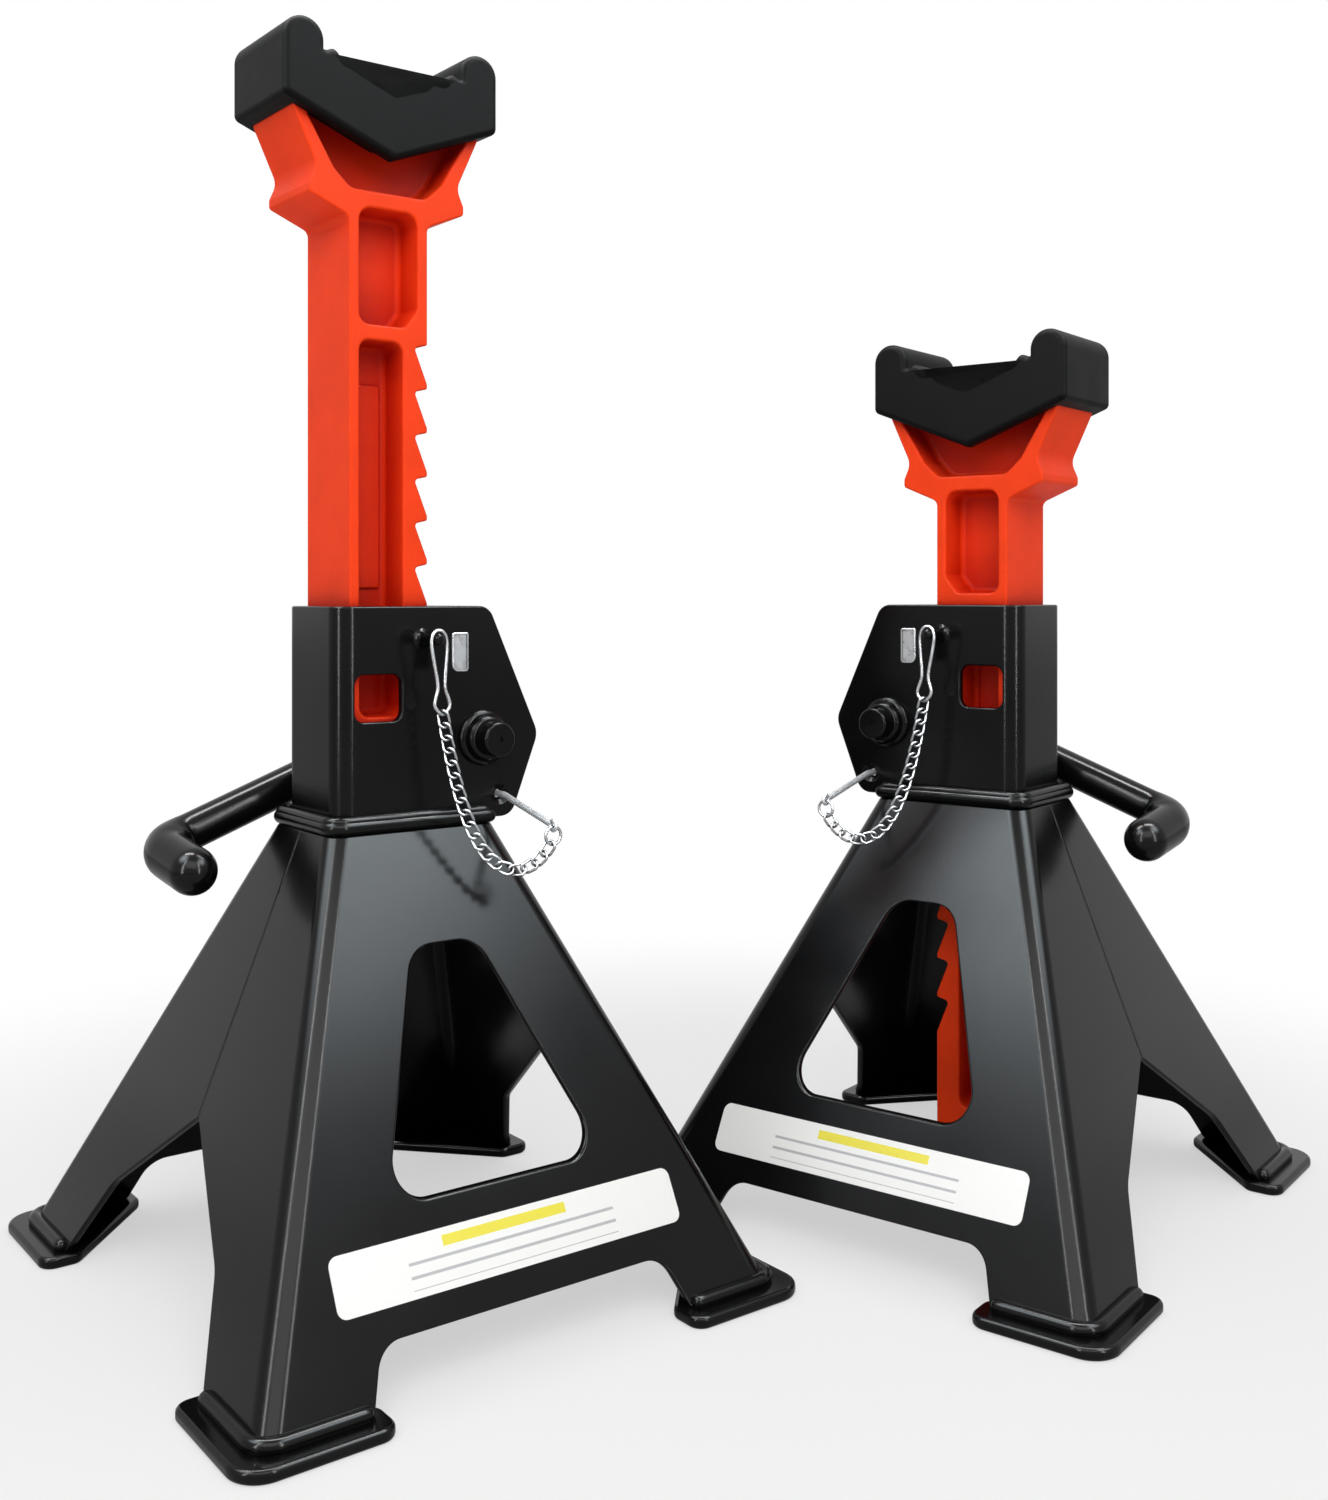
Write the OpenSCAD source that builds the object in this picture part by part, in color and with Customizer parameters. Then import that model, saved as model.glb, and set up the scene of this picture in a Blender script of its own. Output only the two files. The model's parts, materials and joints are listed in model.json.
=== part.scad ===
// A pair of ratchet axle jack stands, in millimetres, +Z up.
// The origin is on the floor, midway between the two stands.
// One stand is drawn about its own centre with its front face towards -Y.
// The left stand is turned about +Z; the right one is its mirror image.

/* [Pair] */
// Turn of each stand about its own upright axis, in degrees
stand_turn = 37.3; // [30:0.1:45]
// Gap from the left stand's nearest corner to the line of the right stand's front feet
stand_gap = 13.7; // [10:0.1:60]
// How far the two facing feet pass each other, front to back
feet_pass = 39; // [0:1:45]
// Notches that the left bar is raised above its lowest notch
left_notch = 7; // [0:1:10]
// Notches that the right bar is raised above its lowest notch
right_notch = 1; // [0:1:10]

/* [Base] */
// Width of the pyramid over its folds, at the foot plates
base_w = 240; // [200:1:300]
// Depth of the pyramid over its folds, at the foot plates
base_d = 272; // [220:1:340]
// Height of the pyramid's top edge
base_h = 203; // [175:1:260]
// Thickness of the pressed sheet
sheet_t = 3.5; // [2.5:0.1:5]
// Outside radius of the folded corners
fold_r = 9; // [6:0.5:14]
// Width of a leg across the front and rear faces
leg_w = 46; // [34:1:60]
// Width of a leg along the side faces
leg_d = 51; // [38:1:66]
// Height of the crossbar's lower edge
crossbar_z = 25.5; // [18:0.5:40]
// Height of the window sill, which is the crossbar's upper edge
sill_z = 67; // [55:1:90]
// Height of the window's top
window_top = 156.5; // [130:0.5:165]
// Width of the web left between the window and each fold
web_w = 41; // [34:1:50]
// Height of the arch between the front and rear legs
arch_z = 83; // [65:1:110]

/* [Feet] */
// Thickness of a foot plate
foot_t = 5.5; // [4:0.5:8]
// How far a foot plate stands out beyond the folds
foot_rim = 11; // [6:0.5:16]
// How far a foot plate runs on past the inner edge of its leg
foot_tail = 5; // [2:0.5:10]

/* [Ratchet bar] */
// Width of the bar over its teeth
bar_w = 39; // [32:0.5:48]
// Depth of the bar, front to back
bar_d = 44; // [36:0.5:54]
// Sideways offset of the bar from the centre of the stand
bar_x = -9; // [-14:0.5:0]
// Length of the bar from its top notch to the shoulder
bar_neck = 54; // [46:1:86]
// Distance from one notch to the next
pitch = 20; // [16:0.5:22]
// Number of notches
notches = 11; // [6:1:11]
// Depth of a notch
tooth_depth = 6.5; // [5:0.5:8]
// Thickness of the web between the front and rear pockets
web_t = 9; // [6:0.5:16]
// Thickness of the ribs beside the pockets
rib_t = 5; // [4:0.5:7]
// Height of the bar's foot above the floor in the lowest notch
bar_floor_gap = 8; // [4:1:20]

/* [Saddle] */
// Half width of the cast head under the pad
head_half = 46.5; // [40:0.5:56]
// Height of the pad's underside above the shoulder, at the middle
pad_rise = 26.4; // [22:0.1:34]
// Rubber beyond the head on every side
pad_wall = 6.5; // [4:0.5:9]
// Depth to which the head is buried in the pad
pad_grip = 8; // [5:0.5:10]
// Upward slope of each wing of the saddle, in degrees
wing_slope = 21.4; // [14:0.1:30]
// Height of a rib on the pad
pad_rib = 3; // [1.5:0.5:4]

/* [Housing] */
// Height of the housing above the pyramid
housing_h = 100; // [90:1:120]
// Depth to which the housing reaches into the pyramid
housing_sink = 33; // [20:1:40]
// Thickness of the housing plate
housing_t = 4; // [3:0.5:6]
// Gap between the bar and each cheek
bar_gap = 1; // [0.6:0.1:2]
// Gap between the bar and the closed side of the housing
back_gap = 4.5; // [2:0.5:6]
// Gap between the teeth and the guide strap
guide_gap = 1; // [0.6:0.1:2]
// Side of the square inspection window
peep_w = 23; // [14:1:26]

/* [Pawl and handle] */
// Sideways distance from the tooth crests to the pawl shaft
shaft_dx = 26; // [24:0.5:30]
// Height of the pawl shaft above the pyramid
shaft_dz = 39; // [34:0.5:44]
// Diameter of the pawl shaft
shaft_d = 16; // [12:0.5:18]
// Radial running clearance of the shaft
shaft_clear = 0.05; // [0.02:0.01:0.1]
// Radius of the pawl's hub
hub_r = 14; // [12:0.5:16]
// Width of the pawl, front to back
pawl_w = 40; // [30:1:42]
// Angle from the engaged pawl to the pose drawn here, in degrees
pawl_lift = 7; // [6:0.5:12]
// Diameter of the handle rod
rod_d = 17.5; // [14:0.5:20]
// Diameter of the thickened grip
grip_d = 21.5; // [18:0.5:26]
// Distance from the shaft to the grip
handle_len = 135; // [110:1:160]
// Fall of the handle below the level, in degrees
handle_fall = 21; // [10:1:30]
// Length of the grip to the centre of its dome
grip_len = 37; // [30:1:60]
// Downward turn of the grip, in degrees
grip_turn = 10; // [0:1:20]

/* [Safety pin and chain] */
// Sideways distance from the pawl shaft to the safety pin
pin_dx = 9.7; // [8:0.1:12]
// Height of the safety pin above the pyramid
pin_dz = 12; // [10:0.5:14]
// Diameter of the safety pin
pin_d = 3; // [2.5:0.5:6]
// Length of the safety pin
pin_len = 108; // [90:1:120]
// How far the pin stands out of the front cheek
pin_out = 49; // [30:1:60]
// Downward bend of the pin outside the front cheek, in degrees
pin_droop = 13; // [0:1:20]
// Radial clearance of the safety pin in its holes
pin_clear = 0.1; // [0.05:0.01:0.1]
// Wire of the ring in the pin
wire_d = 1.4; // [1:0.1:1.6]
// Distance from one chain link to the next
link_pitch = 5.9; // [5:0.1:9]
// Wire thickness of a chain link
link_wire = 1.3; // [1:0.1:2]
// Sag of the chain, as its catenary parameter
chain_sag = 12.6; // [12:0.1:16]
// Diameter of the peg that the chain hangs from
peg_d = 5; // [4:0.5:7]
// Thickness of the folded tab on the peg
tab_t = 1.2; // [0.8:0.1:2]

/* [Label] */
// Width of the blank sticker
label_w = 162; // [100:1:170]
// Height of the blank sticker
label_h = 23; // [15:1:30]

/* [Hidden] */
$fn = 48;
eps = 0.01;
far = 400;
lap = 0.5;
hair = 0.02;

// Colours of the finishes
enamel = [0.06, 0.06, 0.065];
casting_red = [0.91, 0.22, 0.11];
rubber_black = [0.17, 0.165, 0.16];
zinc = [0.8, 0.81, 0.82];
white = [0.95, 0.95, 0.94];

// The housing, worked out from the bar that slides in it
cheek_in = bar_d / 2 + bar_gap;
cheek_out = cheek_in + housing_t;
housing_left = bar_x - bar_w / 2 - back_gap - housing_t;
housing_top = base_h + housing_h;
housing_bottom = base_h - housing_sink;
crest_x = bar_x + bar_w / 2;
shaft_x = crest_x + shaft_dx;
shaft_z = base_h + shaft_dz;

// The pyramid's top, a snug fit round the housing
seat_gap_x = 1;
seat_gap_y = 0.5;
top_x = seat_gap_x + sheet_t - housing_left;
top_y = cheek_out + seat_gap_y + sheet_t;
lean_x = (base_w / 2 - top_x) / (base_h - foot_t);
lean_y = (base_d / 2 - top_y) / (base_h - foot_t);
slope_x = atan(lean_x);
slope_y = atan(lean_y);
function half_x(z) = base_w / 2 - lean_x * (z - foot_t);
function half_y(z) = base_d / 2 - lean_y * (z - foot_t);

// Outlines of the cut-outs, the feet and the weld beads
cut_r = 11;
window_top_r = 13;
below_floor = 5;
arch_shoulder = 0.66;
arch_shoulder_r = 20;
arch_tip_r = 4;
foot_r = 14;
foot_tip_r = 7;
foot_inner_r = 6;
foot_tip_w = foot_rim + 6;
bead_h = 4;
bead_out = 2;
bead_r = 8;

// The pair: the right stand stands behind the left one, so that their feet pass
foot_half_x = base_w / 2 + foot_rim;
foot_half_y = base_d / 2 + foot_rim;
stand_lag = leg_w + leg_d + 2 * (foot_rim + foot_tail) - feet_pass;
stand_y = stand_lag / 2;
stand_x = (foot_half_y + stand_gap + foot_half_x * sin(2 * stand_turn)
           - foot_half_y * cos(2 * stand_turn) - stand_lag * cos(stand_turn)) / (2 * sin(stand_turn));

// The cheek's free corners, measured from the shaft
cheek_foot_x = shaft_x + 16;
cheek_nose_x = shaft_x + 30.9;
cheek_nose_z = shaft_z + 0.6;
cheek_top_x = shaft_x + 3.8;
cheek_lift = 1.5;
peep_r = 4.5;
peep_left = bar_x - 19.3;
peep_low = base_h + 48.6;
strap_t = 8;

// The bar: heights are measured from its own foot
notch_z = shaft_z + 2 * pitch;
crest_0 = notch_z - bar_floor_gap;
hook = 1.5;
function crest(k) = crest_0 - pitch * k;
pocket_depth = (bar_d - web_t) / 2;
sole_t = 20;
bridge_t = 7;
lower_bridge = 31.5;
pocket_r = 5;
head_rim = 6.5;
shoulder_z = crest_0 + bar_neck;
pad_z = shoulder_z + pad_rise;
head_z = pad_z + pad_grip;
wing_rise = tan(wing_slope);
pad_half = head_half + pad_wall;
pad_depth = bar_d / 2 + pad_wall;
wing_r = 9.5;
wing_z = pad_z + 46;
groove_z = pad_z + 31;
pad_ribs = 3;

// The pawl: a roll pin locks it to the shaft
roll_pin_d = 5;
washer_d = 24;
washer_gap = 0.4;

// The handle: the crossing leg passes behind the rear cheek
bend_r = 14;
flange_d = 26;
flange_t = 3;
bush_d = 21;
front_bush_t = 7.5;
rear_bush_t = 4;
leg_y = cheek_out + rear_bush_t + bend_r + 2.5;
shaft_out = 16;

// The safety pin and its ring
pin_x = shaft_x + pin_dx;
pin_z = base_h + pin_dz;
pin_tip = pin_len - pin_out - cheek_out;
tip_len = 1;
bend_out = 3;
eye_d = 2.8;
eye_wire = 1.7;
eye_r = (eye_d + eye_wire) / 2;
eye_run = pin_out - bend_out - eye_r - eye_wire / 2;
bend_y = -cheek_out - bend_out;
ring_gap = 0.2;
ring_r = 4;
ring_y = bend_y - eye_run * cos(pin_droop);
ring_z = pin_z - eye_run * sin(pin_droop) - (eye_d - wire_d) / 2 + ring_gap - ring_r;

// The peg, and the chain's two ends
peg_x = 5;
peg_z = housing_top - 14.7;
peg_len = 17;
hook_d = 2;
link_len = link_pitch + 2 * link_wire + 0.6;
link_w = 4.7 * link_wire;
link_twist = 78;
link_roll = 90;
hang_a = [7, -(cheek_out + peg_len - 2), base_h + 55];
hang_b = [pin_x - 1.5, ring_y, ring_z - ring_r - 3];

// The chain hangs as a catenary from the hook to the pin's ring
span = norm([hang_b[0] - hang_a[0], hang_b[1] - hang_a[1]]);
drop = hang_a[2] - hang_b[2];
hang_turn = atan2(hang_b[1] - hang_a[1], hang_b[0] - hang_a[0]);
function sinh(x) = (exp(x) - exp(-x)) / 2;
function cosh(x) = (exp(x) + exp(-x)) / 2;
function asinh(x) = ln(x + sqrt(x * x + 1));
low_at = span / 2 + chain_sag * asinh(drop / (2 * chain_sag * sinh(span / 2 / chain_sag)));
chain_len = chain_sag * (sinh(low_at / chain_sag) + sinh((span - low_at) / chain_sag));
function along(s) = chain_sag * asinh(s / chain_sag - sinh(low_at / chain_sag)) + low_at;
function hang_z(h) = hang_a[2] - chain_sag * (cosh(low_at / chain_sag) - cosh((h - low_at) / chain_sag));
function hang_slope(h) = atan(sinh((h - low_at) / chain_sag));

// ---- Placing ----

module left_stand() {
  translate([-stand_x, -stand_y, 0])
    rotate([0, 0, stand_turn])
      children();
}

module right_stand() {
  translate([stand_x, stand_y, 0])
    mirror([1, 0, 0])
      rotate([0, 0, stand_turn])
        children();
}

module raised(notch) {
  translate([bar_x, 0, bar_floor_gap + notch * pitch])
    children();
}

// ---- Shapes that repeat ----

function unit(v) = v / norm(v);

// Points of a round corner at b, between the sides to a and to c
function corner(a, b, c, r) =
  let (
    u = unit(a - b),
    v = unit(c - b),
    half = acos(u * v) / 2,
    mid = b + unit(u + v) * r / sin(half),
    p = b + u * r / tan(half) - mid,
    q = b + v * r / tan(half) - mid,
    a0 = atan2(p[1], p[0]),
    turn = atan2(q[1], q[0]) - a0,
    sweep = turn > 180 ? turn - 360 : turn < -180 ? turn + 360 : turn,
    steps = max(2, ceil(abs(sweep) / 12))
  )
  [for (i = [0 : steps]) mid + r * [cos(a0 + sweep * i / steps), sin(a0 + sweep * i / steps)]];

// A polygon whose points are [x, y, corner radius]
module rounded(points) {
  n = len(points);
  function xy(i) = [points[i % n][0], points[i % n][1]];
  polygon([for (i = [0 : n - 1])
    each (points[i][2] > 0 ? corner(xy(i + n - 1), xy(i), xy(i + 1), points[i][2]) : [xy(i)])]);
}

// An outline drawn in X and Z, run from y0 to y1
module through_y(y0, y1) {
  translate([0, y1, 0])
    rotate([90, 0, 0])
      linear_extrude(y1 - y0)
        children();
}

// An outline drawn in Y and Z, run from -x to x
module through_x(x) {
  rotate([90, 0, 90])
    translate([0, 0, -x])
      linear_extrude(2 * x)
        children();
}

// A rod along Y from y0 to y1
module rod_y(d, y0, y1) {
  translate([0, y1, 0])
    rotate([90, 0, 0])
      cylinder(d = d, h = y1 - y0);
}

module rounded_slab(x, y, r, z) {
  translate([0, 0, z])
    linear_extrude(eps)
      rounded([[-x, -y, r], [x, -y, r], [x, y, r], [-x, y, r]]);
}

// The pyramid's solid, drawn in from its outside by a horizontal inset
module pyramid(inset, extra) {
  r = fold_r - inset;
  hull() {
    rounded_slab(half_x(foot_t - extra) - inset, half_y(foot_t - extra) - inset, r, foot_t - extra);
    rounded_slab(half_x(base_h + extra) - inset, half_y(base_h + extra) - inset, r, base_h + extra);
  }
}

// ---- Base ----

module window_outline() {
  low = half_x(sill_z) - web_w / cos(slope_x);
  high = half_x(window_top) - web_w / cos(slope_x);
  rounded([[-low, sill_z, cut_r], [low, sill_z, cut_r],
           [high, window_top, window_top_r], [-high, window_top, window_top_r]]);
}

module leg_gap_outline() {
  low = half_x(-below_floor) - leg_w;
  high = half_x(crossbar_z) - leg_w;
  rounded([[-low, -below_floor, 0], [-high, crossbar_z, cut_r],
           [high, crossbar_z, cut_r], [low, -below_floor, 0]]);
}

module arch_outline() {
  low = half_y(-below_floor) - leg_d;
  shoulder = low * arch_shoulder;
  rounded([[-low, -below_floor, 0], [-shoulder, arch_z / 2, arch_shoulder_r], [0, arch_z, arch_tip_r],
           [shoulder, arch_z / 2, arch_shoulder_r], [low, -below_floor, 0]]);
}

module shell() {
  difference() {
    pyramid(0, 0);
    pyramid(sheet_t * 1.1, 1);
    translate([-far / 2, 0, -eps])
      cube([far, far, far]);
    through_y(-far, 0)
      window_outline();
    through_y(-far, 0)
      leg_gap_outline();
    through_x(far)
      arch_outline();
  }
}

module front_shell() {
  color(enamel) shell();
}

module rear_shell() {
  color(enamel) mirror([0, 1, 0]) shell();
}

module foot_outline() {
  x = foot_half_x;
  y = foot_half_y;
  tail_x = base_w / 2 - leg_w - foot_tail;
  tail_y = base_d / 2 - leg_d - foot_tail;
  rounded([[-x, -y, foot_r], [-tail_x, -y, foot_tip_r], [-tail_x, -y + foot_tip_w, foot_inner_r],
           [-x + foot_tip_w, -tail_y, foot_inner_r], [-x, -tail_y, foot_tip_r]]);
}

module foot_plates() {
  color(enamel)
    for (sx = [0, 1], sy = [0, 1])
      mirror([sx, 0, 0])
        mirror([0, sy, 0])
          linear_extrude(foot_t)
            foot_outline();
}

// Two stacked weld beads round three sides of the housing
module collar() {
  color(enamel)
    for (step = [0, 1])
      translate([0, 0, base_h + step * bead_h])
        linear_extrude(bead_h)
          difference() {
            x = top_x + bead_out;
            y = top_y + bead_out - step;
            rounded([[-x + step, -y, bead_r], [x, -y, bead_out], [x, y, bead_out], [-x + step, y, bead_r]]);
            translate([housing_left, -cheek_out])
              square([far, 2 * cheek_out]);
          }
}

// ---- Housing ----

module cheek_outline() {
  in_right = -housing_left;
  low = base_h + cheek_lift;
  rounded([[housing_left, housing_bottom, 0], [in_right, housing_bottom, 6], [in_right, low, 0],
           [cheek_foot_x, low, 8], [cheek_nose_x, cheek_nose_z, 10],
           [cheek_top_x, housing_top, 8], [housing_left, housing_top, 0]]);
}

module peep_outline() {
  x = peep_left;
  z = peep_low;
  top = z + peep_w - 2;
  rounded([[x, z, peep_r], [x + peep_w, z, peep_r], [x + peep_w, top, peep_r], [x, top, peep_r]]);
}

// A U-shaped channel, open on the toothed side, with its folds on the other
module housing() {
  color(enamel)
    difference() {
      intersection() {
        through_y(-cheek_out, cheek_out)
          cheek_outline();
        linear_extrude(far)
          rounded([[housing_left, -cheek_out, fold_r], [far, -cheek_out, 0],
                   [far, cheek_out, 0], [housing_left, cheek_out, fold_r]]);
      }
      translate([housing_left + housing_t, -cheek_in, 0])
        linear_extrude(far)
          rounded([[0, 0, fold_r - housing_t], [far, 0, 0],
                   [far, 2 * cheek_in, 0], [0, 2 * cheek_in, fold_r - housing_t]]);
      through_y(-far, -cheek_in + eps)
        peep_outline();
      translate([shaft_x, 0, shaft_z])
        rod_y(shaft_d + 2 * shaft_clear, -far, far);
      translate([pin_x, 0, pin_z])
        rod_y(pin_d + 2 * pin_clear, -far, far);
    }
}

// A strap across the cheeks that keeps the toothed side from tipping
module bar_guide() {
  strap_w = shaft_x - crest_x - guide_gap;
  color(enamel)
    translate([crest_x + guide_gap, -cheek_in, housing_top - strap_t])
      cube([strap_w, 2 * cheek_in, strap_t]);
}

module bush(height) {
  difference() {
    union() {
      rod_y(flange_d, 0, flange_t);
      rod_y(bush_d, 0, height);
    }
    rod_y(shaft_d + 2 * shaft_clear, -far, far);
  }
}

module pivot_bushes() {
  color(enamel)
    translate([shaft_x, 0, shaft_z]) {
      translate([0, -cheek_out, 0])
        mirror([0, 1, 0])
          bush(front_bush_t);
      translate([0, cheek_out, 0])
        bush(rear_bush_t);
    }
}

// ---- Ratchet bar and saddle ----

function tooth(k) = [
  [bar_w / 2, crest(k)],
  [bar_w / 2 - tooth_depth, crest(k) - hook],
  [bar_w / 2, crest(k + 1) + hook]
];

// The right half of the head, from the shoulder up to the saddle
function head_side() = [
  [bar_w / 2, shoulder_z],
  [head_half - 8, shoulder_z + 8],
  [head_half - 8, shoulder_z + 12],
  [head_half - 11.5, shoulder_z + 20],
  [head_half, shoulder_z + 45],
  [head_half, head_z + head_half * wing_rise]
];

module bar_outline() {
  side = head_side();
  n = len(side);
  polygon(concat(
    [for (i = [0 : n - 1]) [-side[i][0], side[i][1]]],
    [[0, head_z]],
    [for (i = [0 : n - 1]) side[n - 1 - i]],
    [for (k = [0 : notches - 1]) each tooth(k)],
    [[bar_w / 2, 3], [bar_w / 2 - 3, 0], [-bar_w / 2 + 3, 0], [-bar_w / 2, 3]]
  ));
}

// One side's pockets: upper, long and lower pocket, then the head's recess
module pocket_outlines() {
  left = -bar_w / 2 + rib_t;
  right = bar_w / 2 - tooth_depth - rib_t - 1;
  wide = bar_w / 2 - rib_t;
  upper = crest_0 + bridge_t;
  long_low = crest(notches - 1) + lower_bridge;
  neck = shoulder_z + 5;
  rounded([[left, upper, pocket_r], [6, upper, 2], [wide, upper + 8.5, 2], [wide, neck, 6], [left, neck, 6]]);
  rounded([[left, long_low, pocket_r], [right, long_low, pocket_r],
           [right, crest_0, pocket_r], [left, crest_0, pocket_r]]);
  rounded([[left, sole_t, pocket_r], [right, sole_t, pocket_r],
           [right, long_low - bridge_t, pocket_r], [left, long_low - bridge_t, pocket_r]]);
  recess = head_half - 20;
  top = head_half - head_rim;
  rounded([[-top, far + shoulder_z, 0], [-top, shoulder_z + 43, 4], [-recess, shoulder_z + 20, 8],
           [-recess + 8, shoulder_z + 12.5, 4], [recess - 8, shoulder_z + 12.5, 4],
           [recess, shoulder_z + 20, 8], [top, shoulder_z + 43, 4], [top, far + shoulder_z, 0]]);
}

// A plain raised tablet on the floor of the long pocket
module tablet() {
  raise = 2;
  margin = 2;
  length = 93;
  gap_above = 18;
  translate([-bar_w / 2 + rib_t + margin, -web_t / 2 - raise, crest_0 - gap_above - length])
    cube([bar_w - tooth_depth - 2 * rib_t - 2 * margin - 1, web_t + 2 * raise, length]);
}

module ratchet_bar() {
  color(casting_red) {
    difference() {
      through_y(-bar_d / 2, bar_d / 2)
        bar_outline();
      through_y(-bar_d, -bar_d / 2 + pocket_depth)
        pocket_outlines();
      through_y(bar_d / 2 - pocket_depth, bar_d)
        pocket_outlines();
    }
    tablet();
  }
}

module pad_outline() {
  rise = pad_half * wing_rise;
  wing_x = pad_half - wing_r;
  step = (wing_x - wing_r) / pad_ribs;
  polygon([[0, pad_z], [pad_half, pad_z + rise], [pad_half, wing_z], [wing_x, wing_z],
           [wing_x - wing_r, groove_z + (wing_x - wing_r) * wing_rise + 1], [0, groove_z],
           [-wing_x + wing_r, groove_z + (wing_x - wing_r) * wing_rise + 1], [-wing_x, wing_z],
           [-pad_half, wing_z], [-pad_half, pad_z + rise]]);
  for (s = [-1, 1]) {
    translate([s * wing_x, wing_z])
      circle(r = wing_r);
    for (i = [0 : pad_ribs - 1])
      translate([s * step * (i + 0.6), groove_z + step * (i + 0.6) * wing_rise + pad_rib - step / 2])
        circle(r = step / 2);
  }
}

module saddle_pad() {
  color(rubber_black)
    difference() {
      through_y(-pad_depth, pad_depth)
        pad_outline();
      through_y(-bar_d / 2, bar_d / 2)
        polygon([[0, head_z], [head_half, head_z + head_half * wing_rise], [head_half, 0],
                 [-head_half, 0], [-head_half, head_z + head_half * wing_rise]]);
    }
}

// ---- Pawl and handle ----

module on_shaft() {
  translate([shaft_x, 0, shaft_z])
    children();
}

// The pawl's nose, about the shaft, as it lies in a notch
module nose_outline() {
  crest_dx = -shaft_dx;
  crest_dz = 2 * pitch;
  polygon([[crest_dx - 3.7, crest_dz - 2.9], [crest_dx - 3.7, crest_dz - 6],
           [crest_dx - 0.1, crest_dz - 16.5], [crest_dx + 1, crest_dz - 21],
           [-hub_r, -2], [0, -hub_r + 1], [hub_r - 1, 4], [2, 22],
           [crest_dx + 12, crest_dz - 3.2], [crest_dx + 0.5, crest_dz - 2.5]]);
}

module pawl() {
  bore = shaft_d + 2 * shaft_clear;
  color(enamel)
    on_shaft()
      rotate([0, pawl_lift, 0])
        difference() {
          union() {
            through_y(-pawl_w / 2, pawl_w / 2)
              nose_outline();
            rod_y(2 * hub_r, -pawl_w / 2, pawl_w / 2);
          }
          rod_y(bore, -far, far);
          cylinder(d = roll_pin_d, h = far, center = true);
        }
}

module pawl_pin() {
  color(zinc)
    on_shaft()
      rotate([0, pawl_lift, 0])
        cylinder(d = roll_pin_d, h = 2 * hub_r - 2, center = true);
}

module pawl_washers() {
  washer_t = cheek_in - pawl_w / 2 - washer_gap;
  color(zinc)
    on_shaft()
      for (s = [0, 1])
        mirror([0, s, 0])
          difference() {
            rod_y(washer_d, pawl_w / 2, pawl_w / 2 + washer_t);
            rod_y(shaft_d + 2 * shaft_clear, -far, far);
          }
}

// A quarter bend from +Y to +X whose outer leg lies on y = bend_r
module quarter_bend(d) {
  rotate([0, 0, 90])
    rotate_extrude(angle = 90)
      translate([bend_r, 0])
        circle(d = d);
}

// The straight legs are a hair thinner than the bends, and lap into them
module handle_rod() {
  rod_y(shaft_d, -cheek_out - shaft_out, leg_y - bend_r + lap);
  translate([bend_r, leg_y - bend_r, 0])
    quarter_bend(rod_d);
  translate([bend_r - lap, leg_y, 0])
    rotate([0, 90, 0])
      cylinder(d = rod_d - hair, h = handle_len - 2 * bend_r + 2 * lap);
  translate([0, leg_y, 0])
    rotate([-grip_turn, 0, 0])
      translate([handle_len - bend_r, -bend_r, 0]) {
        mirror([1, 0, 0])
          quarter_bend(rod_d);
        translate([bend_r, 0, 0]) {
          rod_y(grip_d, bend_r - grip_len, lap);
          translate([0, bend_r - grip_len, 0])
            sphere(d = grip_d);
        }
      }
}

module handle() {
  color(enamel)
    on_shaft()
      difference() {
        rotate([0, 180 - handle_fall, 0])
          handle_rod();
        rotate([0, pawl_lift, 0])
          cylinder(d = roll_pin_d, h = 2 * hub_r, center = true);
      }
}

// ---- Safety pin and chain ----

module safety_pin() {
  color(zinc)
    translate([pin_x, 0, pin_z]) {
      rod_y(pin_d, bend_y, pin_tip - tip_len);
      translate([0, pin_tip, 0])
        rotate([90, 0, 0])
          cylinder(d1 = pin_d - tip_len, d2 = pin_d, h = tip_len);
      translate([0, bend_y, 0]) {
        sphere(d = pin_d);
        rotate([pin_droop, 0, 0]) {
          rod_y(pin_d, -eye_run + eye_r, 0);
          translate([0, -eye_run, 0])
            rotate([0, 90, 0])
              ring(eye_r, eye_wire);
        }
      }
    }
}

module ring(r, d) {
  rotate_extrude()
    translate([r, 0])
      circle(d = d);
}

module pin_ring() {
  color(zinc)
    translate([pin_x, ring_y, ring_z])
      rotate([90, 0, 0])
        ring(ring_r, wire_d);
}

// A wire link with straight sides, lying along X about the origin
module wire_link(length, width, d) {
  r = (width - d) / 2;
  run = length - width;
  for (s = [0, 1])
    mirror([s, 0, 0])
      translate([run / 2, 0, 0])
        rotate([0, 0, -90])
          rotate_extrude(angle = 180)
            translate([r, 0])
              circle(d = d);
  for (s = [-1, 1])
    translate([-run / 2, s * r, 0])
      rotate([0, 90, 0])
        cylinder(d = d, h = run);
}

module chain() {
  links = ceil(chain_len / link_pitch);
  color(zinc)
    translate([hang_a[0], hang_a[1], 0])
      rotate([0, 0, hang_turn])
        for (i = [0 : links - 1]) {
          h = along((i + 0.5) * chain_len / links);
          translate([h, 0, hang_z(h)])
            rotate([0, -hang_slope(h), 0])
              rotate([link_roll - (i % 2 - 0.5) * link_twist, 0, 0])
                wire_link(link_len, link_w, link_wire);
        }
}

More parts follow.
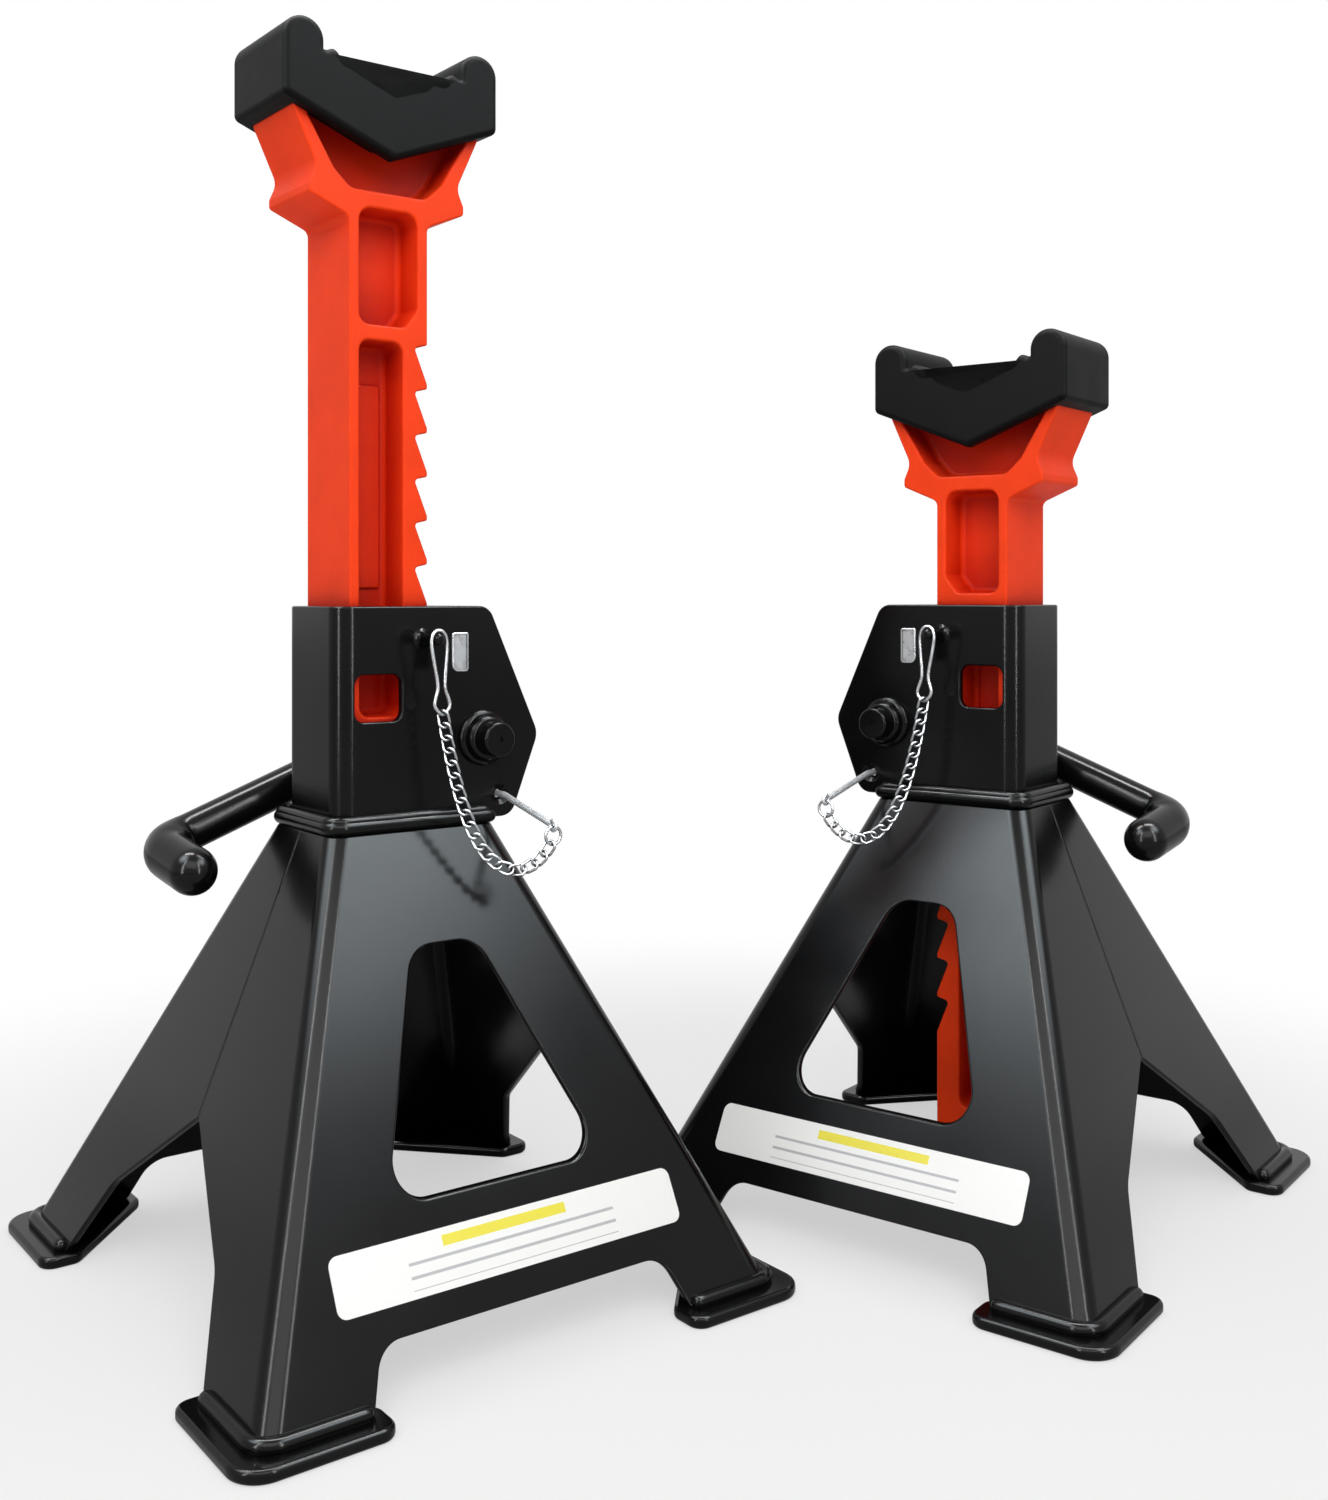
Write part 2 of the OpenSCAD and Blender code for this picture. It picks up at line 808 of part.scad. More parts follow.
// A long wire loop that hangs on the peg and holds the first link
module chain_hook() {
  top = peg_z + peg_d / 2 + 0.2;
  foot = hang_a[2] - 2;
  color(zinc)
    translate([(peg_x + hang_a[0]) / 2, hang_a[1], (top + foot) / 2])
      rotate([0, atan2(peg_x - hang_a[0], top - foot), 0])
        rotate([0, 90, 90])
          wire_link(top - foot + 2 * hook_d, peg_d + 2 * hook_d + 1.2, hook_d);
}

module chain_peg() {
  color(enamel)
    translate([peg_x, 0, peg_z])
      rod_y(peg_d, -cheek_out - peg_len, -cheek_out);
}

// A folded steel tab on the end of the peg, which keeps the loop on
module chain_tab() {
  tab_y = -cheek_out - peg_len;
  color(zinc)
    through_y(tab_y - tab_t, tab_y)
      rounded([[peg_x - 3, peg_z + 3, 1], [peg_x - 3, peg_z - 2, 1], [peg_x + 4.5, peg_z - 9, 1],
               [peg_x + 5.5, peg_z - 14.5, 2.5], [peg_x + 13.5, peg_z - 14.5, 2.5],
               [peg_x + 13.5, peg_z + 3, 1]]);
}

// ---- Label ----

// A plain sticker on the crossbar, blank but for its border
module label() {
  label_t = 0.25;
  z = (crossbar_z + sill_z) / 2;
  color(white)
    translate([0, -half_y(z) - hair, z])
      rotate([-slope_y, 0, 0])
        through_y(-label_t, 0)
          rounded([[-label_w / 2, -label_h / 2, 4], [label_w / 2, -label_h / 2, 4],
                   [label_w / 2, label_h / 2, 4], [-label_w / 2, label_h / 2, 4]]);
}

left_stand() front_shell();  // left_front_shell
left_stand() rear_shell();  // left_rear_shell
left_stand() foot_plates();  // left_foot_plates
left_stand() collar();  // left_collar
left_stand() housing();  // left_housing
left_stand() bar_guide();  // left_bar_guide
left_stand() pivot_bushes();  // left_pivot_bushes
left_stand() raised(left_notch) ratchet_bar();  // left_ratchet_bar
left_stand() raised(left_notch) saddle_pad();  // left_saddle_pad
left_stand() pawl();  // left_pawl
left_stand() pawl_washers();  // left_pawl_washers
left_stand() pawl_pin();  // left_pawl_pin
left_stand() handle();  // left_handle
left_stand() safety_pin();  // left_safety_pin
left_stand() pin_ring();  // left_pin_ring
left_stand() chain();  // left_chain
left_stand() chain_hook();  // left_chain_hook
left_stand() chain_peg();  // left_chain_peg
left_stand() chain_tab();  // left_chain_tab
left_stand() label();  // left_label
right_stand() front_shell();  // right_front_shell
right_stand() rear_shell();  // right_rear_shell
right_stand() foot_plates();  // right_foot_plates
right_stand() collar();  // right_collar
right_stand() housing();  // right_housing
right_stand() bar_guide();  // right_bar_guide
right_stand() pivot_bushes();  // right_pivot_bushes
right_stand() raised(right_notch) ratchet_bar();  // right_ratchet_bar
right_stand() raised(right_notch) saddle_pad();  // right_saddle_pad
right_stand() pawl();  // right_pawl
right_stand() pawl_washers();  // right_pawl_washers
right_stand() pawl_pin();  // right_pawl_pin
right_stand() handle();  // right_handle
right_stand() safety_pin();  // right_safety_pin
right_stand() pin_ring();  // right_pin_ring
right_stand() chain();  // right_chain
right_stand() chain_hook();  // right_chain_hook
right_stand() chain_peg();  // right_chain_peg
right_stand() chain_tab();  // right_chain_tab
right_stand() label();  // right_label
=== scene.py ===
"""A pair of ratchet axle jack stands, built round its packed construction model."""

import json
import math

import bmesh
import bpy
from mathutils import Matrix, Vector


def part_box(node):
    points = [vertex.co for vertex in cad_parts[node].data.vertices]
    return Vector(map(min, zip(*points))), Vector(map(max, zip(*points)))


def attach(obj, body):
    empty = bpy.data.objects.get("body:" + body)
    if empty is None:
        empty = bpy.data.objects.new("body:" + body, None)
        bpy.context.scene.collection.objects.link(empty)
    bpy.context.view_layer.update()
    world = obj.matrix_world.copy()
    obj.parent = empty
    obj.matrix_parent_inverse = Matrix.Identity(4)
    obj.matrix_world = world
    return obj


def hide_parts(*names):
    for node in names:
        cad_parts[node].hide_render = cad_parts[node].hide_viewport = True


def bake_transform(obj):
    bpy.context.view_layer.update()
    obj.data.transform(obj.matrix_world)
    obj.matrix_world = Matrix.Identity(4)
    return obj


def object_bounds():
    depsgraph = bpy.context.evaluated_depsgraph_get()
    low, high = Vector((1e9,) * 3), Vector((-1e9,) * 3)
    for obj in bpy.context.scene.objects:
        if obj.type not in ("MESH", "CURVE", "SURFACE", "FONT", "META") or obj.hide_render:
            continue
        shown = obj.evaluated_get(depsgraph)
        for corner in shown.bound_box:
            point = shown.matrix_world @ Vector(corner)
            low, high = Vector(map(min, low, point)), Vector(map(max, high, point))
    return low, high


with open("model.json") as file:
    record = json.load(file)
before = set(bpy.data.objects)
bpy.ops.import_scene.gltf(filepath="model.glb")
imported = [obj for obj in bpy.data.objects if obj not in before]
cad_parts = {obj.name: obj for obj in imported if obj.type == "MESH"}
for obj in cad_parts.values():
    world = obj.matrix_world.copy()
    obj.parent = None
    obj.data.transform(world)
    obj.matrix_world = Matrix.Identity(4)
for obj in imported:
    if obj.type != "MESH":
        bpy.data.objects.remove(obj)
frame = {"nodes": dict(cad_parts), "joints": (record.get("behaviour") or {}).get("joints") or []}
CAD_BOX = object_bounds()

bl_info = {
    "name": "Ratchet jack stands",
    "version": (1, 0, 0),
    "blender": (4, 5, 0),
    "location": "View3D > Sidebar > Jack stands",
    "description": "Builds the visible pieces of a pair of ratchet axle jack stands",
    "category": "Add Mesh",
}

MM = 0.001
SIDES = ("left", "right")
JOINTS = {joint["name"]: joint for joint in frame["joints"]}


# ---- Where each stand is, read from the frame ----

def stand_matrix(side):
    """From one stand's own millimetres to the frame's metres."""
    low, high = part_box(side + "_foot_plates")
    centre = (low + high) / 2
    axis = JOINTS[side + "_handle_turn"]["axis"]
    turn = math.atan2(-axis[0], abs(axis[1]))
    flip = Matrix.Scale(-1, 4, (1, 0, 0)) if side == "right" else Matrix.Identity(4)
    return (Matrix.Translation((centre.x, centre.y, 0)) @ flip
            @ Matrix.Rotation(turn, 4, "Z") @ Matrix.Scale(MM, 4))


PLACE = {side: stand_matrix(side) for side in SIDES}


def local_box(node):
    """A node's lowest and highest corner in the stand's own millimetres."""
    back = PLACE[node.split("_")[0]].inverted()
    points = [back @ v.co for v in frame["nodes"][node].data.vertices]
    low = Vector([min(p[i] for p in points) for i in range(3)])
    high = Vector([max(p[i] for p in points) for i in range(3)])
    return low, high


def lift(side):
    """Height of a bar's foot above the floor."""
    return local_box(side + "_ratchet_bar")[0].z


SHELL = local_box("left_front_shell")
FEET = local_box("left_foot_plates")
HOUSING = local_box("left_housing")
BAR = local_box("left_ratchet_bar")
PAD = local_box("left_saddle_pad")
HANDLE = local_box("left_handle")
PIN = local_box("left_safety_pin")
RING = local_box("left_pin_ring")
HOOK = local_box("left_chain_hook")
PEG = local_box("left_chain_peg")
TAB = local_box("left_chain_tab")
SHAFT = PLACE["left"].inverted() @ Vector(JOINTS["left_handle_turn"]["pos_m"])
BAR_X = (BAR[0].x + BAR[1].x) / 2
BAR_FOOT = BAR[0].z


# ---- What a user may change ----

def length(title, tells, millimetres):
    """A length property, given in millimetres and kept in metres."""
    return bpy.props.FloatProperty(name=title, description=tells, default=millimetres * MM,
                                   min=0, unit="LENGTH", subtype="DISTANCE")


def colour(title, tells, code):
    """A colour property, given as an sRGB hex value."""
    return bpy.props.FloatVectorProperty(name=title, description=tells, default=linear(code),
                                         size=3, min=0, max=1, subtype="COLOR")


def linear(code):
    """An sRGB hex value as linear red, green and blue."""
    parts = [int(code[i:i + 2], 16) / 255 for i in (1, 3, 5)]
    return tuple(p / 12.92 if p <= 0.04045 else ((p + 0.055) / 1.055) ** 2.4 for p in parts)


class JackStandSizes(bpy.types.PropertyGroup):
    sheet: length("Sheet", "Thickness of the pressed sheet", 3.5)
    fold: length("Fold radius", "Outside radius of the folded corners", 9)
    leg_w: length("Leg width", "Width of a leg across the front face", 46)
    leg_d: length("Leg depth", "Width of a leg along the side face", 51)
    crossbar: length("Crossbar", "Height of the crossbar's lower edge", 25.5)
    sill: length("Window sill", "Height of the window's lower edge", 67)
    window_top: length("Window top", "Height of the window's upper edge", 156.5)
    web: length("Web", "Width left between the window and the fold", 41)
    arch: length("Arch", "Height of the arch between the legs on each side", 83)
    foot_tail: length("Foot tail", "Run of a foot plate past its leg", 5)
    sheet_edge: length("Sheet edge", "Rounding of the sheet's cut edges", 1.1)
    bead: length("Weld bead", "Radius of the bead where a leg meets its foot", 3.4)
    rib: length("Bar ribs", "Thickness of the ribs beside the bar's pockets", 5)
    tooth: length("Tooth depth", "Depth of a notch", 6.5)
    pitch: length("Notch pitch", "Distance from one notch to the next", 20)
    web_thickness: length("Bar web", "Thickness between the front and rear pockets", 9)
    cast_edge: length("Cast edge", "Rounding of the casting's edges", 1.3)
    rubber_edge: length("Rubber edge", "Rounding of the pad's moulded edges", 3)
    link_pitch: length("Link pitch", "Distance from one chain link to the next", 5.9)
    link_wire: length("Link wire", "Wire thickness of a chain link", 1.25)


class JackStandColours(bpy.types.PropertyGroup):
    enamel: colour("Enamel", "Black stove enamel", "#0a0a0b")
    casting: colour("Casting paint", "Orange-red paint of the bar", "#fb4418")
    rubber: colour("Rubber", "Moulded black rubber", "#101010")
    zinc: colour("Zinc", "Bright zinc plate", "#acaeb0")
    film: colour("Label film", "White label film", "#f3f3f0")
    ink: colour("Label ink", "Yellow bar on the label", "#e9dc1e")
    floor: colour("Floor", "Pale studio floor", "#f2f2f2")


def sizes():
    """The sizes in millimetres."""
    group = bpy.context.scene.jack_stand_sizes
    return {name: getattr(group, name) / MM for name in JackStandSizes.__annotations__}


# ---- Outlines and meshes, in the stand's own millimetres ----

ARC_STEP = math.radians(7)


def rounded(points):
    """A closed outline from (x, y, corner radius) points."""
    out = []
    for i, (x, y, r) in enumerate(points):
        b = Vector((x, y))
        if r <= 0:
            out.append(b)
            continue
        a = Vector(points[i - 1][:2])
        c = Vector(points[(i + 1) % len(points)][:2])
        u, v = (a - b).normalized(), (c - b).normalized()
        half = u.angle(v) / 2
        mid = b + (u + v).normalized() * r / math.sin(half)
        p = b + u * r / math.tan(half) - mid
        q = b + v * r / math.tan(half) - mid
        sweep = p.angle_signed(q)
        steps = max(2, math.ceil(abs(sweep) / ARC_STEP))
        for k in range(steps + 1):
            out.append(mid + Matrix.Rotation(-sweep * k / steps, 2) @ p)
    return out


def moved_out(outline, distance):
    """An anticlockwise outline with every edge moved outwards by a distance."""
    out = []
    for i, p in enumerate(outline):
        a = (p - outline[i - 1]).normalized()
        b = (outline[(i + 1) % len(outline)] - p).normalized()
        out.append(p + Vector((a.y + b.y, -a.x - b.x)) * distance / (1 + a.dot(b)))
    return out


def tidied(outline, apart=0.01):
    """The outline without points that lie on one another."""
    return [p for i, p in enumerate(outline) if (p - outline[i - 1]).length > apart]


def loft(rings, closed=False):
    """A closed mesh through rings of points, capped unless the last ring meets the first."""
    mesh = bmesh.new()
    rows = [[mesh.verts.new(p) for p in ring] for ring in rings]
    count = len(rows[0])
    pairs = list(zip(rows, rows[1:] + rows[:1])) if closed else list(zip(rows, rows[1:]))
    for low, high in pairs:
        for i in range(count):
            j = (i + 1) % count
            mesh.faces.new((low[i], low[j], high[j], high[i]))
    if not closed:
        mesh.faces.new(rows[0][::-1])
        mesh.faces.new(rows[-1])
    bmesh.ops.recalc_face_normals(mesh, faces=mesh.faces)
    return as_mesh(mesh)


def as_mesh(mesh):
    """A working mesh as mesh data, after which the working mesh is gone."""
    data = bpy.data.meshes.new("piece")
    mesh.to_mesh(data)
    mesh.free()
    return data


def prism(outline, axis, low, high):
    """An outline run along an axis: (x, z) along Y, (y, z) along X, or (x, y) along Z."""
    spot = {"X": lambda p, d: (d, p[0], p[1]), "Y": lambda p, d: (p[0], d, p[1]),
            "Z": lambda p, d: (p[0], p[1], d)}[axis]
    return loft([[spot(p, low) for p in outline], [spot(p, high) for p in outline]])


QUARTER = [math.pi / 2 * k / 5 for k in range(6)]


def cast_block(outline, face, rim):
    """A solid between -face and face along Y, with both rims rounded."""
    outline = tidied(outline)
    half = [(-face + rim * (1 - math.cos(a)), -rim * (1 - math.sin(a))) for a in QUARTER]
    rows = half + [(-y, grow) for y, grow in reversed(half)]
    return loft([[(p.x, y, p.y) for p in moved_out(outline, grow)] for y, grow in rows])


def pocket_tool(outline, face, floor, rim, fillet, draft):
    """What a pocket takes from a casting's front: a rounded rim, drafted walls and a filleted floor."""
    outline = tidied(outline)
    rows = [(-face - 2 * rim, rim)]
    rows += [(-face + rim * (1 - math.cos(a)), rim * (1 - math.sin(a))) for a in QUARTER]
    rows += [(-floor - fillet * (1 - math.sin(a)), -draft - fillet * (1 - math.cos(a)))
             for a in QUARTER]
    return loft([[(p.x, y, p.y) for p in moved_out(outline, grow)] for y, grow in rows])


def mirrored(mesh):
    """A copy of the mesh on the other side of Y = 0."""
    back = mesh.copy()
    back.transform(Matrix.Scale(-1, 4, (0, 1, 0)))
    back.flip_normals()
    return back


def along(points, corner_radius, step=1.5):
    """A smooth path through points, with its corners rounded, as evenly spaced points."""
    path = [Vector(points[0])]
    for a, b, c in zip(points, points[1:], points[2:]):
        a, b, c = Vector(a), Vector(b), Vector(c)
        u, v = (a - b).normalized(), (c - b).normalized()
        half = u.angle(v) / 2
        mid = b + (u + v).normalized() * corner_radius / math.sin(half)
        p = b + u * corner_radius / math.tan(half) - mid
        q = b + v * corner_radius / math.tan(half) - mid
        turn = p.angle(q)
        axis = p.cross(q)
        steps = max(2, math.ceil(turn / ARC_STEP))
        path += [mid + Matrix.Rotation(turn * k / steps, 3, axis) @ p for k in range(steps + 1)]
    path.append(Vector(points[-1]))
    out = [path[0]]
    for a, b in zip(path, path[1:]):
        steps = max(1, round((b - a).length / step))
        out += [a.lerp(b, k / steps) for k in range(1, steps + 1)]
    return out


def tube(path, radius, sides=24, closed=False):
    """A tube along a path. The radius is a number, or a function of the distance run."""
    rings = []
    run = 0.0
    tangent = (path[1] - path[0]).normalized()
    side = tangent.orthogonal().normalized()
    for i, point in enumerate(path):
        before = path[i - 1] if i or closed else point
        after = path[(i + 1) % len(path)] if i + 1 < len(path) or closed else point
        tangent = (after - before).normalized()
        side = (side - tangent * side.dot(tangent)).normalized()
        up = tangent.cross(side)
        run += (point - path[i - 1]).length if i else 0
        r = radius(run) if callable(radius) else radius
        rings.append([point + (side * math.cos(a) + up * math.sin(a)) * r
                      for a in (math.tau * k / sides for k in range(sides))])
    return loft(rings, closed)


def smooth_ring(corners, steps=6):
    """A smooth closed path through its corners."""
    out = []
    count = len(corners)
    for i in range(count):
        a, b, c, d = (corners[(i + k - 1) % count] for k in range(4))
        for k in range(steps):
            t = k / steps
            out.append((2 * b + (c - a) * t + (2 * a - 5 * b + 4 * c - d) * t * t
                        + (3 * b - a - 3 * c + d) * t ** 3) / 2)
    return out


def domed(path, radius, steps=6):
    """A path with extra points at both ends, and the radius that rounds them off."""
    total = sum((b - a).length for a, b in zip(path, path[1:]))
    ends = [radius * (1 - math.cos(math.pi / 2 * k / steps)) for k in range(steps)]
    start = (path[1] - path[0]).normalized()
    finish = (path[-2] - path[-1]).normalized()
    middle = [p for p in path[1:-1] if min((p - path[0]).length, (p - path[-1]).length) >= radius]
    smallest = 0.02 * radius

    def size(run):
        d = min(run, total - run)
        if d >= radius:
            return radius
        return max(smallest, math.sqrt(max(0, radius ** 2 - (radius - d) ** 2)))

    first = [path[0] + start * d for d in ends]
    last = [path[-1] + finish * d for d in reversed(ends)]
    return first + middle + last, size


def lathe(profile, centre, sides=48):
    """A profile of (distance along -Y, radius) turned about a line along Y through centre."""
    x, y, z = centre
    rings = []
    for depth, radius in profile:
        rings.append([(x + radius * math.cos(a), y - depth, z + radius * math.sin(a))
                      for a in (math.tau * k / sides for k in range(sides))])
    return loft(rings)


def joined(meshes):
    """Several meshes as one, each as it is."""
    out = bmesh.new()
    for mesh in meshes:
        out.from_mesh(mesh)
    return as_mesh(out)


def modified(mesh, change):
    """The mesh after the modifiers that change() puts on its object."""
    made = bpy.data.objects.new("working", mesh)
    bpy.context.scene.collection.objects.link(made)
    spare = change(made) or []
    shape = made.evaluated_get(bpy.context.evaluated_depsgraph_get())
    out = bpy.data.meshes.new_from_object(shape)
    for thing in [made, *spare]:
        bpy.data.objects.remove(thing)
    return out


def cut(mesh, tools, operation="DIFFERENCE"):
    """The mesh with each tool taken away, or met with it."""
    def change(made):
        spare = []
        for tool in tools:
            other = bpy.data.objects.new("tool", tool)
            bpy.context.scene.collection.objects.link(other)
            modifier = made.modifiers.new("cut", "BOOLEAN")
            modifier.operation = operation
            modifier.solver = "EXACT"
            modifier.object = other
            spare.append(other)
        return spare
    return modified(mesh, change)


def softened(mesh, width, segments=3, degrees=32):
    """The mesh with its sharp edges rounded."""
    def change(made):
        modifier = made.modifiers.new("soften", "BEVEL")
        modifier.width = width
        modifier.segments = segments
        modifier.limit_method = "ANGLE"
        modifier.angle_limit = math.radians(degrees)
        modifier.miter_outer = "MITER_ARC"
        modifier.use_clamp_overlap = False
    return modified(mesh, change)


def add_piece(name, mesh, body, nodes, finish, raised=False, sides=SIDES):
    """Puts a mesh on both stands, riding on a body of each and standing for its nodes."""
    made = []
    for side in sides:
        data = mesh.copy()
        up = Matrix.Translation((0, 0, lift(side))) if raised else Matrix.Identity(4)
        data.transform(PLACE[side] @ up)
        if side == "right":
            data.flip_normals()
        data.shade_smooth()
        data.set_sharp_from_angle(angle=math.radians(42))
        piece = bpy.data.objects.new(side + "_" + name, data)
        bpy.context.scene.collection.objects.link(piece)
        piece.data.materials.clear()
        piece.data.materials.append(material(finish))
        normals = piece.modifiers.new("even shading", "WEIGHTED_NORMAL")
        normals.keep_sharp = True
        if body:
            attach(piece, side + "_" + body)
        if nodes:
            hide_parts(*[side + "_" + node for node in nodes])
        made.append(piece)
    return made


# ---- Materials ----

def add(tree, kind, inputs=None, **settings):
    """Adds a node, with its settings, and its inputs as values or as sockets to link."""
    node = tree.nodes.new(kind)
    for name, value in settings.items():
        setattr(node, name, value)
    for socket, value in (inputs or {}).items():
        if isinstance(value, bpy.types.NodeSocket):
            tree.links.new(value, node.inputs[socket])
        else:
            node.inputs[socket].default_value = value
    return node


def shader(name):
    """A new material, its tree, its surface shader and its place coordinate."""
    made = bpy.data.materials.new(name)
    made.use_nodes = True
    tree = made.node_tree
    place = add(tree, "ShaderNodeTexCoord").outputs["Object"]
    return made, tree, tree.nodes["Principled BSDF"], place


def per_mm(size):
    """Noise scale that gives features about this many millimetres wide."""
    return 1 / (size * MM)


def patchy(tree, place, size, detail, low, high):
    """A value that drifts between low and high, in patches about this many millimetres wide."""
    noise = add(tree, "ShaderNodeTexNoise", {"Vector": place, "Scale": per_mm(size), "Detail": detail})
    drift = add(tree, "ShaderNodeMapRange", {"Value": noise.outputs["Fac"], "From Min": 0.3,
                                             "From Max": 0.7, "To Min": low, "To Max": high})
    return drift.outputs["Result"]


def roughen(tree, surface, place, size, detail, strength, height):
    """Gives a surface a fine relief, with its width and its height in millimetres."""
    noise = add(tree, "ShaderNodeTexNoise", {"Vector": place, "Scale": per_mm(size), "Detail": detail})
    relief = add(tree, "ShaderNodeBump", {"Height": noise.outputs["Fac"], "Strength": strength,
                                          "Distance": height * MM})
    tree.links.new(relief.outputs["Normal"], surface.inputs["Normal"])


def black_stove_enamel():
    """Sprayed and baked gloss enamel: deep black, with the faint ripple that spray leaves."""
    made, tree, surface, place = shader("black_stove_enamel")
    tint = bpy.context.scene.jack_stand_colours.enamel
    surface.inputs["Base Color"].default_value = (*tint, 1)
    surface.inputs["IOR"].default_value = 1.5
    surface.inputs["Specular IOR Level"].default_value = 0.15
    tree.links.new(patchy(tree, place, 55, 3.0, 0.16, 0.22), surface.inputs["Roughness"])
    roughen(tree, surface, place, 2.5, 1.0, 0.05, 0.2)
    return made


def painted_sand_casting():
    """Orange-red paint over a sand casting: satin, with the mould's fine grain, and painted shade that turns
    it a deeper red in corners and pockets.
    """
    made, tree, surface, place = shader("painted_sand_casting")
    tint = bpy.context.scene.jack_stand_colours.casting
    shade = patchy(tree, place, 26, 4.0, 0.93, 1.05)
    mixed = add(tree, "ShaderNodeVectorMath", {0: tuple(tint), "Scale": shade}, operation="SCALE")
    # Painted shade: ambient occlusion darkens the paint towards a deep red in corners and pockets, where
    # shade falls.
    corner = add(tree, "ShaderNodeAmbientOcclusion", {"Distance": 24 * MM}, samples=6)
    open_to_light = add(tree, "ShaderNodeMapRange", {"Value": corner.outputs["AO"], "From Min": 0.35,
                                                     "From Max": 0.92})
    deep = (*linear("#b81606"), 1)
    with_painted_crease_shade = add(tree, "ShaderNodeMix", {0: open_to_light.outputs["Result"], 6: deep,
                                          7: mixed.outputs["Vector"]}, data_type="RGBA")
    tree.links.new(with_painted_crease_shade.outputs[2], surface.inputs["Base Color"])
    surface.inputs["IOR"].default_value = 1.5
    surface.inputs["Specular IOR Level"].default_value = 0.05
    surface.inputs["Roughness"].default_value = 0.45
    roughen(tree, surface, place, 1.1, 3.0, 0.22, 0.25)
    return made


def moulded_rubber():
    """Compression-moulded rubber: near black and matte, with a fine leathery skin."""
    made, tree, surface, place = shader("moulded_rubber")
    tint = bpy.context.scene.jack_stand_colours.rubber
    surface.inputs["Base Color"].default_value = (*tint, 1)
    surface.inputs["IOR"].default_value = 1.52
    surface.inputs["Specular IOR Level"].default_value = 0.045
    tree.links.new(patchy(tree, place, 18, 4.0, 0.44, 0.52), surface.inputs["Roughness"])
    roughen(tree, surface, place, 0.9, 2.0, 0.2, 0.2)
    return made


def bright_zinc_plate():
    """Zinc plate on wire and strip: a bright, slightly cloudy metal, with painted shade that darkens it to
    dull grey in its creases.
    """
    made, tree, surface, place = shader("bright_zinc_plate")
    tint = bpy.context.scene.jack_stand_colours.zinc
    # Painted shade: ambient occlusion darkens the base colour to about a fifth in creases and between links.
    crease = add(tree, "ShaderNodeAmbientOcclusion", {"Distance": 3 * MM}, samples=8)
    depth = add(tree, "ShaderNodeMapRange", {"Value": crease.outputs["AO"], "From Min": 0.3, "From Max": 0.95,
                                             "To Min": 0.22, "To Max": 1.0})
    zinc_with_painted_crease_shade = add(tree, "ShaderNodeVectorMath", {0: tuple(tint), "Scale": depth.outputs["Result"]},
                 operation="SCALE")
    tree.links.new(zinc_with_painted_crease_shade.outputs["Vector"], surface.inputs["Base Color"])
    surface.inputs["Metallic"].default_value = 1
    tree.links.new(patchy(tree, place, 3, 3.0, 0.24, 0.38), surface.inputs["Roughness"])
    return made


def matt_zinc_plate():
    """Zinc plate on the drawn pin: satin and only partly metallic, with its colour painted lighter than the
    zinc as a painted highlight, since the pin would otherwise mirror the dark housing.
    """
    made, tree, surface, place = shader("matt_zinc_plate")
    tint = bpy.context.scene.jack_stand_colours.zinc
    surface.inputs["Metallic"].default_value = 0.6
    surface.inputs["Roughness"].default_value = 0.4
    # Painted highlight: the zinc colour is lifted to 1.4 to 1.7 times, in small random patches.
    shade = patchy(tree, place, 2, 3.0, 1.4, 1.7)
    mixed = add(tree, "ShaderNodeVectorMath", {0: tuple(tint), "Scale": shade}, operation="SCALE")
    tree.links.new(mixed.outputs["Vector"], surface.inputs["Base Color"])
    return made


def printed_film():
    """Printed vinyl film: white, with a yellow bar and fine grey ruled lines."""
    made, tree, surface, _ = shader("printed_film")
    tints = bpy.context.scene.jack_stand_colours
    spot = add(tree, "ShaderNodeUVMap", uv_map="label")
    axes = add(tree, "ShaderNodeSeparateXYZ", {"Vector": spot.outputs["UV"]})

    def between(value, low, high):
        above = add(tree, "ShaderNodeMath", {0: value, 1: low}, operation="GREATER_THAN")
        below = add(tree, "ShaderNodeMath", {0: value, 1: high}, operation="LESS_THAN")
        return both(above.outputs[0], below.outputs[0])

    def both(a, b):
        return add(tree, "ShaderNodeMath", {0: a, 1: b}, operation="MULTIPLY").outputs[0]

    across, up = axes.outputs["X"], axes.outputs["Y"]
    bar = both(between(across, 0.30, 0.66), between(up, 0.70, 0.88))
    stripe = add(tree, "ShaderNodeMath", {0: up, 1: 0.11}, operation="PINGPONG").outputs[0]
    line = both(both(between(stripe, 0.085, 0.12), between(up, 0.12, 0.64)), between(across, 0.2, 0.8))
    grey = (0.45, 0.45, 0.46, 1)
    ground = add(tree, "ShaderNodeMix", {0: bar, 6: (*tints.film, 1), 7: (*tints.ink, 1)}, data_type="RGBA")
    ruled = add(tree, "ShaderNodeMix", {0: line, 6: ground.outputs[2], 7: grey}, data_type="RGBA")
    tree.links.new(ruled.outputs[2], surface.inputs["Base Color"])
    surface.inputs["Roughness"].default_value = 0.35
    return made


FINISHES = {
    "enamel": black_stove_enamel,
    "casting": painted_sand_casting,
    "rubber": moulded_rubber,
    "zinc": bright_zinc_plate,
    "pin": matt_zinc_plate,
    "film": printed_film,
}
MADE = {}


def material(finish):
    """The material of a finish, made once."""
    if finish not in MADE:
        MADE[finish] = FINISHES[finish]()
    return MADE[finish]


# ---- Base ----

FOLD_STEPS = 10
SHEET_ANGLE = 38  # edges of sheet that turn by more than this are rounded
GAP_X, GAP_Y = 1, 0.5


def half_x(z):
    """Half the pyramid's width at a height. At its top it leaves a gap round the housing."""
    low, high = SHELL
    top = -HOUSING[0].x + GAP_X + sizes()["sheet"]
    return high.x - (high.x - top) * (z - low.z) / (high.z - low.z)


